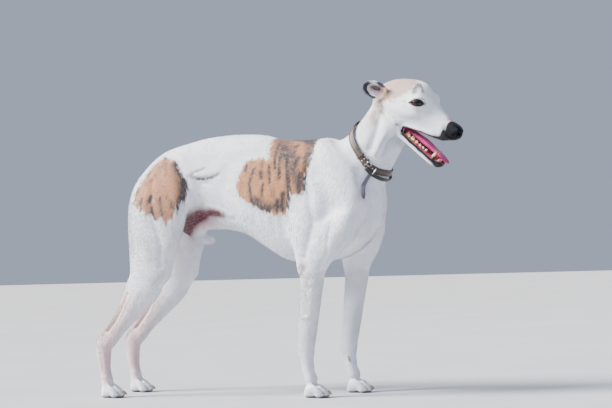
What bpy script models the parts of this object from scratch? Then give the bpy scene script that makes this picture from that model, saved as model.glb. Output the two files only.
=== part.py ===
"""A still, life-size standing greyhound wearing a plain leather collar, in metres, +Z up, facing +X.

The body is modelled whole from lofted masses of bone and muscle, fused into one skin, and then
parted into its named pieces by thin cuts. The dog's left side is +Y, and its feet rest on Z = 0.
"""

from math import cos, pi, radians, sin

import bmesh
import bpy
import numpy as np
from mathutils import Matrix, Vector
from mathutils.bvhtree import BVHTree

# Driving dimensions, in metres.
WITHERS_HEIGHT = 0.712
LOIN_HEIGHT = 0.735
CHEST_BOTTOM = 0.366
TUCK_UP = 0.463
CHEST_HALF_WIDTH = 0.093
WAIST_HALF_WIDTH = 0.060
FORE_STANCE = 0.076
HIND_STANCE = 0.088
HEAD_ORIGIN = (0.315, 0.0, 0.800)
HEAD_TURN = -14.0
HEAD_DROP = 22.0
EYE_RADIUS = 0.0162
EYE_PLACE = (0.1325, 0.0410, 0.0385)
EYE_AIM = (0.60, 0.78, 0.12)
EAR_PLACE = (0.010, 0.0345)
COLLAR_WIDTH = 0.019
COLLAR_THICKNESS = 0.0032
COLLAR_SLACK = 0.0010
COLLAR_CENTRE = (0.2738, 0.0, 0.6652)
COLLAR_SLOPE = 56.0
COLLAR_TURN = -12.0
COLLAR_LIFT_THROAT = 0.012
COLLAR_LIFT_NAPE = 0.019
RING_ANGLE = -34.0
RING_RADIUS = 0.0105
RING_WIRE = 0.0016
LOOP_WIDTH = 0.0115
LOOP_THICKNESS = 0.0028
LOOP_START = -50.0
LOOP_SWEEP = 122.0
LOOP_SAG = 0.0085
STRAP_TOP = (0.282, -0.050, 0.588)
STRAP_BOTTOM = (0.269, -0.056, 0.536)
STRAP_WIDTH = 0.0125
STRAP_THICKNESS = 0.0028
GAP = 0.0003
SOLE_LEVEL = 0.0

BODY_VOXEL = 0.004
FINE_VOXEL = 0.0022
BODY_TRIANGLES = 4500
HEAD_TRIANGLES = 3300
PAW_TRIANGLES = 300

COAT_WHITE = (0.80, 0.79, 0.77, 1.0)
NOSE_BLACK = (0.012, 0.012, 0.014, 1.0)
TONGUE_PINK = (0.62, 0.20, 0.28, 1.0)
EYE_BROWN = (0.015, 0.009, 0.006, 1.0)
LEATHER_BROWN = (0.13, 0.075, 0.045, 1.0)
STEEL_GREY = (0.55, 0.55, 0.56, 1.0)


def material(name, colour, roughness, metallic=0.0):
    made = bpy.data.materials.new(name)
    made.use_nodes = True
    shader = made.node_tree.nodes["Principled BSDF"]
    shader.inputs["Base Color"].default_value = colour
    shader.inputs["Roughness"].default_value = roughness
    shader.inputs["Metallic"].default_value = metallic
    return made


def new_object(name, mesh):
    made = bpy.data.objects.new(name, mesh)
    bpy.context.scene.collection.objects.link(made)
    return made


def remove(obj):
    mesh = obj.data
    bpy.data.objects.remove(obj)
    bpy.data.meshes.remove(mesh)


def evaluated_mesh(obj):
    """The object's mesh with its modifiers applied."""
    bpy.context.view_layer.update()
    graph = bpy.context.evaluated_depsgraph_get()
    return bpy.data.meshes.new_from_object(obj.evaluated_get(graph))


def apply_modifiers(obj):
    made = evaluated_mesh(obj)
    old = obj.data
    obj.modifiers.clear()
    obj.data = made
    bpy.data.meshes.remove(old)


def smooth_curve(keys, count):
    """The key rows resampled at count even steps, along a smooth cubic through every key."""
    keys = np.array(keys, float)
    last = len(keys) - 1
    slopes = np.gradient(keys, axis=0)
    rows = []
    for place in np.linspace(0.0, last, count):
        start = min(int(place), last - 1)
        t = place - start
        a, b = keys[start], keys[start + 1]
        rows.append(
            (2 * t**3 - 3 * t**2 + 1) * a
            + (t**3 - 2 * t**2 + t) * slopes[start]
            + (-2 * t**3 + 3 * t**2) * b
            + (t**3 - t**2) * slopes[start + 1]
        )
    return np.array(rows)


def closed_rings(name, rings):
    """A closed body through rings of points, with a point at the middle of each end."""
    body = bmesh.new()
    loops = [[body.verts.new(point) for point in ring] for ring in rings]
    count = len(loops[0])
    for before, after in zip(loops, loops[1:]):
        for i in range(count):
            j = (i + 1) % count
            body.faces.new((before[i], before[j], after[j], after[i]))
    for loop, ring, turn in ((loops[0], rings[0], True), (loops[-1], rings[-1], False)):
        middle = body.verts.new(np.mean(ring, axis=0))
        for i in range(count):
            j = (i + 1) % count
            body.faces.new((loop[j], loop[i], middle) if turn else (loop[i], loop[j], middle))
    bmesh.ops.recalc_face_normals(body, faces=body.faces)
    mesh = bpy.data.meshes.new(name)
    body.to_mesh(mesh)
    body.free()
    return new_object(name, mesh)


def squircle(angle, power):
    """A point of a rounded square: power 2 is a circle and more is squarer."""
    return tuple(np.sign(part) * abs(part) ** (2 / power) for part in (cos(angle), sin(angle)))


def profile_loft(name, keys, steps=40, sides=28, power=2.2):
    """A body along X. Each key is (x, top, bottom, half width, height of the widest line)."""
    rings = []
    for x, top, bottom, half_width, widest in smooth_curve(keys, steps):
        ring = []
        for i in range(sides):
            across, up = squircle(2 * pi * i / sides, power)
            rise = (top - widest) if up > 0 else (widest - bottom)
            ring.append((x, max(half_width, 0.001) * across, widest + max(rise, 0.001) * up))
        rings.append(ring)
    return closed_rings(name, rings)


def limb(name, keys, steps=30, sides=20, power=2.0):
    """A body along a bent path, domed at its ends. Each key is (x, y, z, depth radius, side radius)."""
    rows = smooth_curve(keys, steps)
    path = rows[:, :3]
    along = np.gradient(path, axis=0)
    rings = []
    for row, direction in zip(rows, along):
        forward = Vector(direction).normalized()
        side = Vector((0.0, 1.0, 0.0))
        side = (side - forward * side.dot(forward)).normalized()
        depth = side.cross(forward)
        centre = Vector(row[:3])
        ring = []
        for i in range(sides):
            across, up = squircle(2 * pi * i / sides, power)
            ring.append(centre + side * (across * row[4]) + depth * (up * row[3]))
        rings.append(ring)
    for index, inward, row in ((0, 1, rows[0]), (-1, -1, rows[-1])):
        centre = Vector(row[:3])
        outward = Vector(along[index] * -inward).normalized() * min(row[3], row[4])
        dome = [centre + (Vector(p) - centre) * 0.6 + outward * 0.7 for p in rings[index]]
        rings.insert(0 if index == 0 else len(rings), dome)
    return closed_rings(name, rings)


def ellipsoid(name, centre, radii, turn=None, sides=20):
    body = bmesh.new()
    bmesh.ops.create_uvsphere(body, u_segments=sides, v_segments=sides // 2, radius=1.0)
    turn = turn or Matrix.Identity(4)
    place = Matrix.Translation(centre) @ turn @ Matrix.Diagonal((*radii, 1.0))
    bmesh.ops.transform(body, matrix=place, verts=body.verts)
    mesh = bpy.data.meshes.new(name)
    body.to_mesh(mesh)
    body.free()
    return new_object(name, mesh)


def box(name, low, high):
    body = bmesh.new()
    bmesh.ops.create_cube(body, size=1.0)
    size = Vector(high) - Vector(low)
    centre = (Vector(high) + Vector(low)) / 2
    place = Matrix.Translation(centre) @ Matrix.Diagonal((*size, 1.0))
    bmesh.ops.transform(body, matrix=place, verts=body.verts)
    mesh = bpy.data.meshes.new(name)
    body.to_mesh(mesh)
    body.free()
    return new_object(name, mesh)


def prism(name, outline, low, high, axis="Y"):
    """A polygon given in (x, z), or (y, z) for axis X, swept along its axis from low to high."""
    def at(a, b, c):
        return (a, c, b) if axis == "Y" else (c, a, b)

    rings = [[at(a, b, level) for a, b in outline] for level in (low, high)]
    body = bmesh.new()
    loops = [[body.verts.new(point) for point in ring] for ring in rings]
    count = len(outline)
    for i in range(count):
        j = (i + 1) % count
        body.faces.new((loops[0][i], loops[0][j], loops[1][j], loops[1][i]))
    body.faces.new(loops[0][::-1])
    body.faces.new(loops[1])
    bmesh.ops.recalc_face_normals(body, faces=body.faces)
    bmesh.ops.triangulate(body, faces=body.faces)
    mesh = bpy.data.meshes.new(name)
    body.to_mesh(mesh)
    body.free()
    return new_object(name, mesh)


def largest_surface(obj):
    """Keeps only the largest closed surface of the object."""
    body = bmesh.new()
    body.from_mesh(obj.data)
    bmesh.ops.triangulate(body, faces=body.faces)
    unseen = set(body.faces)
    groups = []
    while unseen:
        group = []
        queue = [unseen.pop()]
        while queue:
            face = queue.pop()
            group.append(face)
            for edge in face.edges:
                for other in edge.link_faces:
                    if other in unseen:
                        unseen.remove(other)
                        queue.append(other)
        groups.append(group)
    groups.sort(key=lambda group: sum(face.calc_area() for face in group))
    scraps = [face for group in groups[:-1] for face in group]
    if scraps:
        bmesh.ops.delete(body, geom=scraps, context="FACES")
        loose = [vertex for vertex in body.verts if not vertex.link_faces]
        bmesh.ops.delete(body, geom=loose, context="VERTS")
    body.to_mesh(obj.data)
    body.free()


def boolean(obj, other, operation, solver="EXACT"):
    """Cuts the object by the other, or keeps what they share, and removes the other."""
    modifier = obj.modifiers.new(operation.title(), "BOOLEAN")
    modifier.operation = operation
    modifier.solver = solver
    modifier.object = other
    apply_modifiers(obj)
    remove(other)
    largest_surface(obj)


def unite(obj, others, solver="EXACT"):
    """Joins the others to the object by one union on a collection, and removes them."""
    group = bpy.data.collections.new(obj.name + "_parts")
    for other in others:
        group.objects.link(other)
    modifier = obj.modifiers.new("Union", "BOOLEAN")
    modifier.operation = "UNION"
    modifier.solver = solver
    modifier.operand_type = "COLLECTION"
    modifier.collection = group
    apply_modifiers(obj)
    for other in others:
        remove(other)
    bpy.data.collections.remove(group)
    largest_surface(obj)


def duplicate(obj, name):
    return new_object(name, obj.data.copy())


def fuse(name, masses, voxel, triangles, softness, rounds):
    """One closed skin over overlapping masses. softness(points) gives how much each point is smoothed."""
    body = bmesh.new()
    for mass in masses:
        body.from_mesh(mass.data)
    mesh = bpy.data.meshes.new(name)
    body.to_mesh(mesh)
    body.free()
    for mass in masses:
        remove(mass)
    skin = new_object(name, mesh)
    remesh = skin.modifiers.new("Fuse", "REMESH")
    remesh.mode = "VOXEL"
    remesh.voxel_size = voxel
    apply_modifiers(skin)
    smooth_skin(skin, softness, rounds)
    faces = sum(len(face.vertices) - 2 for face in skin.data.polygons)
    decimate = skin.modifiers.new("Coarsen", "DECIMATE")
    decimate.ratio = triangles / faces
    decimate.use_collapse_triangulate = True
    apply_modifiers(skin)
    largest_surface(skin)
    return skin


def smooth_skin(skin, softness, rounds):
    """Moves each point towards the mean of its neighbours, by its softness, in each round."""
    mesh = skin.data
    points = np.empty(len(mesh.vertices) * 3)
    mesh.vertices.foreach_get("co", points)
    points = points.reshape(-1, 3)
    ends = np.empty(len(mesh.edges) * 2, int)
    mesh.edges.foreach_get("vertices", ends)
    first, second = ends.reshape(-1, 2).T
    count = np.bincount(ends, minlength=len(points))[:, None]
    weight = softness(points)[:, None]
    for _ in range(rounds):
        total = np.zeros_like(points)
        for axis in range(3):
            total[:, axis] = np.bincount(first, points[second, axis], len(points))
            total[:, axis] += np.bincount(second, points[first, axis], len(points))
        points += (total / count - points) * weight
    mesh.vertices.foreach_set("co", points.ravel())
    mesh.update()


def grown(obj, name, amount):
    """A copy with each point moved out along its normal."""
    copy = duplicate(obj, name)
    body = bmesh.new()
    body.from_mesh(copy.data)
    body.normal_update()
    for vertex in body.verts:
        vertex.co += vertex.normal * amount
    body.to_mesh(copy.data)
    body.free()
    return copy


def keep_side(obj, point, normal):
    """Keeps what lies on the normal's side of a plane, and closes the cut with a flat face."""
    body = bmesh.new()
    body.from_mesh(obj.data)
    everything = [*body.verts, *body.edges, *body.faces]
    cut = bmesh.ops.bisect_plane(
        body, geom=everything, dist=1e-6, plane_co=point, plane_no=normal, clear_inner=True
    )
    edges = [item for item in cut["geom_cut"] if isinstance(item, bmesh.types.BMEdge)]
    bmesh.ops.holes_fill(body, edges=edges, sides=0)
    bmesh.ops.triangulate(body, faces=[face for face in body.faces if len(face.verts) > 3])
    bmesh.ops.recalc_face_normals(body, faces=body.faces)
    body.to_mesh(obj.data)
    body.free()
    largest_surface(obj)


def part_by_plane(obj, point, normal, name):
    """Cuts a piece off the object on the normal's side of a plane and returns it, a thin gap away."""
    normal = Vector(normal).normalized()
    piece = duplicate(obj, name)
    keep_side(piece, Vector(point) + normal * GAP / 2, normal)
    keep_side(obj, Vector(point) - normal * GAP / 2, -normal)
    return piece


def part_by_region(obj, region, wide_region, name):
    """Cuts the part of the object inside a region off it, and leaves a thin gap round it."""
    piece = duplicate(obj, name)
    boolean(piece, region, "INTERSECT")
    boolean(obj, wide_region, "DIFFERENCE")
    return piece


def trunk():
    """Chest, loin and croup: a deep narrow rib cage, an arched loin and a high tuck-up."""
    keys = [
        (0.316, 0.560, 0.490, 0.020, 0.528),
        (0.298, 0.600, 0.450, 0.046, 0.534),
        (0.256, 0.650, 0.405, 0.068, 0.545),
        (0.205, 0.700, 0.378, 0.082, 0.545),
        (0.150, WITHERS_HEIGHT, 0.368, 0.088, 0.535),
        (0.085, 0.711, CHEST_BOTTOM - 0.001, CHEST_HALF_WIDTH, 0.530),
        (0.025, 0.714, 0.373, 0.095, 0.540),
        (-0.035, 0.730, 0.408, 0.091, 0.560),
        (-0.095, LOIN_HEIGHT, 0.447, 0.079, 0.590),
        (-0.155, LOIN_HEIGHT, TUCK_UP, 0.066, 0.615),
        (-0.215, 0.730, 0.465, WAIST_HALF_WIDTH, 0.625),
        (-0.275, 0.717, 0.468, 0.064, 0.625),
        (-0.334, 0.702, 0.480, 0.066, 0.624),
        (-0.378, 0.675, 0.500, 0.054, 0.606),
        (-0.409, 0.633, 0.530, 0.034, 0.586),
    ]
    return profile_loft("trunk", keys, steps=60, sides=32, power=2.15)


def neck(name):
    """From the shoulders to behind the skull, deeper than wide."""
    keys = [
        (0.150, 0.0, 0.580, 0.108, 0.070),
        (0.220, 0.0, 0.614, 0.103, 0.066),
        (0.259, 0.0, 0.648, 0.084, 0.060),
        (0.286, 0.0, 0.680, 0.075, 0.054),
        (0.310, -0.001, 0.711, 0.070, 0.050),
        (0.332, -0.003, 0.744, 0.066, 0.047),
        (0.348, -0.006, 0.778, 0.058, 0.044),
        (0.358, -0.008, 0.805, 0.048, 0.038),
    ]
    return limb(name, keys, steps=26, sides=32)


def shoulder(side, forward):
    """Shoulder blade, point of the shoulder and upper arm. forward moves the arm with its foot."""
    y = side
    blade = limb("blade", [
        (0.140, y * 0.030, 0.690, 0.050, 0.016),
        (0.170, y * 0.052, 0.640, 0.060, 0.026),
        (0.215, y * 0.066, 0.570, 0.060, 0.032),
        (0.249, y * 0.070, 0.505, 0.045, 0.030),
    ])
    arm = limb("arm", [
        (0.252, y * 0.072, 0.512, 0.036, 0.028),
        (0.212 + forward * 0.40, y * 0.081, 0.455, 0.046, 0.031),
        (0.156 + forward * 0.82, y * 0.086, 0.402, 0.049, 0.031),
        (0.130 + forward * 0.95, y * 0.084, 0.360, 0.040, 0.028),
    ])
    triceps = limb("triceps", [
        (0.125, y * 0.066, 0.570, 0.050, 0.020),
        (0.112 + forward * 0.4, y * 0.083, 0.480, 0.052, 0.027),
        (0.105 + forward * 0.9, y * 0.088, 0.400, 0.034, 0.026),
        (0.101 + forward, y * 0.088, 0.350, 0.018, 0.018),
    ])
    return [blade, arm, triceps]


def foreleg(side, forward):
    """Forearm, carpus and pastern, down to the paw. The carpal pad stands out behind the joint."""
    y = side
    keys = [
        (0.132 + forward, y * 0.084, 0.375, 0.036, 0.028),
        (0.126 + forward, y * 0.083, 0.335, 0.037, 0.028),
        (0.119 + forward, y * 0.081, 0.285, 0.033, 0.025),
        (0.112 + forward, y * 0.079, 0.235, 0.0305, 0.023),
        (0.104 + forward, y * 0.077, 0.180, 0.0280, 0.0215),
        (0.097 + forward, y * 0.076, 0.135, 0.0250, 0.0225),
        (0.099 + forward, y * 0.076, 0.095, 0.0195, 0.0205),
        (0.109 + forward, y * 0.076, 0.058, 0.0185, 0.0215),
    ]
    leg = limb("forearm_mass", keys, steps=40)
    elbow = ellipsoid("elbow", (0.094 + forward, y * 0.088, 0.352), (0.017, 0.014, 0.024))
    pad = ellipsoid("carpal_pad", (0.078 + forward, y * 0.078, 0.116), (0.011, 0.009, 0.013))
    return [leg, elbow, pad]


def hindleg(side, back):
    """Thigh, stifle, second thigh, hock with its tendon, and rear pastern."""
    y = side
    thigh = limb("thigh_mass", [
        (-0.320, y * 0.044, 0.656, 0.055, 0.028),
        (-0.329, y * 0.060, 0.598, 0.088, 0.038),
        (-0.342, y * 0.073, 0.530, 0.096, 0.042),
        (-0.351, y * 0.082, 0.460, 0.087, 0.040),
        (-0.360, y * 0.087, 0.395, 0.073, 0.036),
        (-0.365 - back, y * 0.088, 0.340, 0.066, 0.032),
    ], steps=30, sides=24)
    flank = limb("flank", [
        (-0.255, y * 0.048, 0.630, 0.030, 0.018),
        (-0.264, y * 0.066, 0.560, 0.034, 0.020),
        (-0.298, y * 0.082, 0.470, 0.032, 0.022),
        (-0.320, y * 0.090, 0.380, 0.024, 0.022),
        (-0.326, y * 0.091, 0.335, 0.021, 0.020),
    ])
    second_thigh = limb("second_thigh", [
        (-0.365 - back, y * 0.088, 0.355, 0.056, 0.030),
        (-0.386 - back, y * 0.088, 0.305, 0.049, 0.028),
        (-0.428 - back, y * 0.088, 0.250, 0.035, 0.023),
        (-0.471 - back, y * 0.087, 0.198, 0.024, 0.017),
        (-0.503 - back, y * 0.087, 0.158, 0.022, 0.018),
    ], steps=26)
    tendon = limb("tendon", [
        (-0.425 - back, y * 0.086, 0.335, 0.016, 0.016),
        (-0.455 - back, y * 0.086, 0.270, 0.012, 0.010),
        (-0.497 - back, y * 0.086, 0.212, 0.0085, 0.008),
        (-0.536 - back, y * 0.086, 0.172, 0.0110, 0.011),
        (-0.540 - back, y * 0.086, 0.150, 0.0130, 0.013),
    ])
    pastern = limb("rear_pastern", [
        (-0.503 - back, y * 0.087, 0.172, 0.020, 0.0175),
        (-0.521 - back, y * 0.087, 0.148, 0.0270, 0.0190),
        (-0.523 - back, y * 0.087, 0.118, 0.0245, 0.0180),
        (-0.520 - back, y * 0.087, 0.080, 0.0185, 0.0170),
        (-0.514 - back, y * 0.087, 0.045, 0.0170, 0.0185),
    ])
    return [thigh, flank, second_thigh, tendon, pastern]


def tail():
    """Carried low: from the croup it hangs between the thighs and curves forward at its tip."""
    keys = [
        (-0.374, 0.0, 0.648, 0.023, 0.024),
        (-0.409, 0.0, 0.627, 0.020, 0.020),
        (-0.434, 0.0, 0.585, 0.0165, 0.0165),
        (-0.446, 0.0, 0.510, 0.0135, 0.0130),
        (-0.445, 0.0, 0.420, 0.0110, 0.0105),
        (-0.432, 0.0, 0.335, 0.0085, 0.0085),
        (-0.404, 0.0, 0.262, 0.0070, 0.0070),
    ]
    return limb("tail_mass", keys, steps=44, sides=16)


def sheath():
    """The male's sheath, under the groin."""
    keys = [
        (-0.300, 0.0, 0.470, 0.014, 0.014),
        (-0.262, 0.0, 0.452, 0.016, 0.015),
        (-0.228, 0.0, 0.440, 0.017, 0.015),
        (-0.203, 0.0, 0.444, 0.013, 0.012),
    ]
    return limb("sheath", keys, steps=14, sides=16)


# Where each foot stands: (side, shift of the leg along X).
FORE = {"right": (-1, 0.0), "left": (1, 0.068)}
HIND = {"right": (-1, 0.0), "left": (1, -0.002)}


def body_softness(points):
    """Full on the trunk and where the legs leave it, and little on thin legs and tail."""
    height = points[:, 2]
    soft = np.clip((height - 0.30) / 0.10, 0.0, 1.0) * 0.42 + 0.08
    on_tail = (np.abs(points[:, 1]) < 0.026) & (points[:, 0] < -0.425)
    return np.where(on_tail, 0.08, soft)


def whole_body():
    masses = [trunk(), neck("neck_mass"), tail(), sheath()]
    for side, forward in FORE.values():
        masses += shoulder(side, forward) + foreleg(side, forward)
    for side, back in HIND.values():
        masses += hindleg(side, back)
    return fuse("torso", masses, BODY_VOXEL, BODY_TRIANGLES, body_softness, 26)


def to_world():
    """From the head's own frame, muzzle along +X, to the dog's."""
    turn = Matrix.Rotation(radians(HEAD_TURN), 4, "Z") @ Matrix.Rotation(radians(HEAD_DROP), 4, "Y")
    return Matrix.Translation(HEAD_ORIGIN) @ turn


def skull_masses():
    """Brain case, muzzle, cheeks, brows and the open lower jaw, in the head's own frame."""
    skull = profile_loft("skull", [
        (-0.016, 0.030, -0.030, 0.026, 0.005),
        (-0.004, 0.052, -0.048, 0.038, 0.002),
        (0.015, 0.068, -0.062, 0.046, 0.002),
        (0.040, 0.080, -0.068, 0.050, 0.008),
        (0.070, 0.0895, -0.062, 0.0515, 0.012),
        (0.098, 0.0930, -0.044, 0.0510, 0.016),
        (0.122, 0.0885, -0.033, 0.0485, 0.022),
        (0.146, 0.0730, -0.031, 0.0420, 0.014),
        (0.170, 0.0540, -0.031, 0.0330, 0.002),
        (0.195, 0.0375, -0.032, 0.0270, -0.008),
        (0.220, 0.0265, -0.033, 0.0235, -0.011),
        (0.240, 0.0185, -0.031, 0.0200, -0.010),
        (0.252, 0.0120, -0.027, 0.0160, -0.010),
    ], steps=56, sides=28, power=2.2)
    jaw = profile_loft("jaw", [
        (0.020, -0.030, -0.072, 0.030, -0.055),
        (0.060, -0.034, -0.076, 0.036, -0.056),
        (0.095, -0.043, -0.075, 0.0335, -0.058),
        (0.125, -0.054, -0.083, 0.0280, -0.067),
        (0.155, -0.064, -0.094, 0.0235, -0.077),
        (0.185, -0.074, -0.104, 0.0205, -0.087),
        (0.212, -0.084, -0.112, 0.0180, -0.097),
        (0.232, -0.089, -0.112, 0.0150, -0.098),
        (0.243, -0.092, -0.104, 0.0090, -0.098),
    ], steps=36, sides=20, power=2.4)
    masses = [skull, jaw]
    for side in (-1, 1):
        masses += [
            ellipsoid("cheek", (0.058, side * 0.034, -0.026), (0.046, 0.017, 0.040)),
            ellipsoid("brow", (0.124, side * 0.0290, 0.050), (0.036, 0.0205, 0.027)),
            ellipsoid("cheekbone", (0.092, side * 0.0410, 0.012), (0.060, 0.0185, 0.023)),
            ellipsoid("lid_mass", eye_centre(side), (EYE_RADIUS + 0.0030,) * 3),
            limb("lip", [
                (0.104, side * 0.031, -0.030, 0.0085, 0.0065),
                (0.140, side * 0.0275, -0.0285, 0.0085, 0.0065),
                (0.180, side * 0.0225, -0.0295, 0.0085, 0.0060),
                (0.215, side * 0.0175, -0.0300, 0.0085, 0.0060),
                (0.240, side * 0.0110, -0.0280, 0.0080, 0.0060),
            ], steps=16, sides=12),
            limb("lower_lip", [
                (0.104, side * 0.0305, -0.0500, 0.0060, 0.0050),
                (0.125, side * 0.0270, -0.0640, 0.0065, 0.0050),
                (0.155, side * 0.0230, -0.0745, 0.0065, 0.0050),
                (0.185, side * 0.0198, -0.0855, 0.0065, 0.0050),
                (0.212, side * 0.0165, -0.0965, 0.0065, 0.0050),
                (0.231, side * 0.0090, -0.1015, 0.0065, 0.0050),
            ], steps=16, sides=10),
        ]
    return masses


def eye_centre(side):
    x, y, z = EYE_PLACE
    return Vector((x, side * y, z))


def eye_turn(side):
    """Turns +X to where the eye looks."""
    x, y, z = EYE_AIM
    return Vector((x, side * y, z)).to_track_quat("X", "Z").to_matrix().to_4x4()


def head_softness(points):
    """Full over the skull, and less on the lips and the muzzle's end."""
    turn = np.array(to_world().inverted())
    local = points @ turn[:3, :3].T + turn[:3, 3]
    near_lips = (local[:, 0] > 0.10) & (local[:, 2] < -0.020)
    return np.where(near_lips, 0.10, 0.45)


def whole_head():
    """Head and upper neck in one skin, placed in the dog's frame."""
    masses = skull_masses()
    for mass in masses:
        mass.data.transform(to_world())
    masses.append(neck("upper_neck"))
    return fuse("head", masses, FINE_VOXEL, HEAD_TRIANGLES, head_softness, 20)


def cut_eyes(head):
    """Opens the lids over each eyeball, and clears the socket round it."""
    eyes = []
    for name, side in (("right", -1), ("left", 1)):
        centre = to_world() @ eye_centre(side)
        turn = to_world().to_3x3().to_4x4() @ eye_turn(side)
        front = centre + turn @ Vector((EYE_RADIUS, 0, 0))
        boolean(head, ellipsoid("opening", front, (0.0140, 0.0215, 0.0092), turn, 16), "DIFFERENCE")
        socket = ellipsoid("socket", centre, (EYE_RADIUS + GAP * 2,) * 3, sides=18)
        boolean(head, socket, "DIFFERENCE")
        eyes.append(ellipsoid("eye_" + name, centre, (EYE_RADIUS,) * 3, sides=16))
    return eyes


def nose():
    """The nose leather with its two nostrils, broad above and narrow below."""
    leather = profile_loft("nose", [
        (0.219, 0.0180, -0.0240, 0.0165, -0.004),
        (0.232, 0.0205, -0.0280, 0.0200, -0.004),
        (0.246, 0.0190, -0.0280, 0.0195, -0.003),
        (0.258, 0.0145, -0.0230, 0.0165, -0.002),
        (0.266, 0.0080, -0.0160, 0.0110, -0.003),
        (0.270, -0.0005, -0.0075, 0.0035, -0.004),
    ], steps=8, sides=16, power=2.5)
    leather.data.transform(to_world())
    for side in (-1, 1):
        place = to_world() @ Vector((0.262, side * 0.0100, -0.004))
        turn = to_world().to_3x3().to_4x4() @ Matrix.Rotation(radians(side * 30), 4, "Z")
        nostril = ellipsoid("nostril", place, (0.0090, 0.0042, 0.0050), turn, 10)
        boolean(leather, nostril, "DIFFERENCE")
    return leather


def tongue():
    """Lies in the jaw and hangs a little out at the front."""
    body = limb("tongue", [
        (0.105, 0.000, -0.0480, 0.0055, 0.0170),
        (0.140, 0.001, -0.0550, 0.0060, 0.0165),
        (0.175, 0.003, -0.0645, 0.0060, 0.0150),
        (0.205, 0.006, -0.0755, 0.0055, 0.0130),
        (0.226, 0.009, -0.0850, 0.0045, 0.0125),
        (0.238, 0.011, -0.0940, 0.0035, 0.0100),
    ], steps=12, sides=10, power=2.3)
    body.data.transform(to_world())
    return body


def tooth(place, height, radius, lean):
    body = bmesh.new()
    bmesh.ops.create_cone(
        body, cap_ends=True, segments=6, radius1=radius, radius2=radius * 0.25, depth=height
    )
    turn = Matrix.Rotation(radians(lean), 4, "Y")
    bmesh.ops.transform(body, matrix=to_world() @ Matrix.Translation(place) @ turn, verts=body.verts)
    bmesh.ops.triangulate(body, faces=body.faces)
    mesh = bpy.data.meshes.new("tooth")
    body.to_mesh(mesh)
    body.free()
    return new_object("tooth", mesh)


def jaw_edge(x):
    """Height and half width of the tooth line of the open lower jaw, at x along it."""
    t = (x - 0.110) / (0.235 - 0.110)
    return -0.053 - 0.037 * t, 0.0235 - 0.0110 * t


def lower_teeth():
    """Incisors across the front, a canine on each side, and a row of cheek teeth behind."""
    teeth = []
    for side in (-1, 1):
        for i in range(5):
            x = 0.122 + 0.0165 * i
            z, half = jaw_edge(x)
            height = 0.015 - 0.0012 * i
            teeth.append(tooth((x, side * half, z), height, 0.0052 - 0.0004 * i, 8))
        z, half = jaw_edge(0.216)
        teeth.append(tooth((0.216, side * half, z + 0.002), 0.022, 0.0042, 6))
        for i in range(3):
            place = (0.232 - 0.001 * i, side * (0.0018 + 0.0036 * i), -0.0905)
            teeth.append(tooth(place, 0.011, 0.0021, 14))
    return teeth


def ear(side, name):
    """A rose ear folded back: a thin cup, open to the side, with its tip curled to the rear."""
    rows, columns, wall = 5, 20, 0.0024
    outer = []
    inner = []
    for shell, offset in ((outer, 0.0), (inner, wall)):
        for row in range(rows + 1):
            reach = row / rows
            ring = []
            for column in range(columns):
                angle = 2 * pi * column / columns
                spread = 0.031 + 0.006 * cos(angle - pi) ** 2 * (cos(angle) < 0)
                x = EAR_PLACE[0] + (spread - offset * 0.6) * reach**0.8 * cos(angle)
                z = EAR_PLACE[1] + (0.0250 - offset * 0.6) * reach**0.8 * sin(angle)
                depth = 0.0470 + 0.019 * reach**2.2 - 0.005 * reach**6 + 0.004 * sin(angle) * reach
                lean = -0.34 * (x - EAR_PLACE[0])
                ring.append((x, side * (depth + offset + lean), z))
            shell.append(ring)
    body = bmesh.new()
    loops = [[body.verts.new(p) for p in ring] for ring in outer[1:]]
    loops_in = [[body.verts.new(p) for p in ring] for ring in inner[1:]]
    for group in (loops, loops_in):
        for before, after in zip(group, group[1:]):
            for i in range(columns):
                j = (i + 1) % columns
                body.faces.new((before[i], before[j], after[j], after[i]))
        centre = body.verts.new(np.mean([v.co for v in group[0]], axis=0))
        for i in range(columns):
            body.faces.new((group[0][i], group[0][(i + 1) % columns], centre))
    for i in range(columns):
        j = (i + 1) % columns
        body.faces.new((loops[-1][i], loops[-1][j], loops_in[-1][j], loops_in[-1][i]))
    bmesh.ops.recalc_face_normals(body, faces=body.faces)
    mesh = bpy.data.meshes.new(name)
    body.to_mesh(mesh)
    body.free()
    made = new_object(name, mesh)
    made.data.transform(to_world())
    return made


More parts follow.
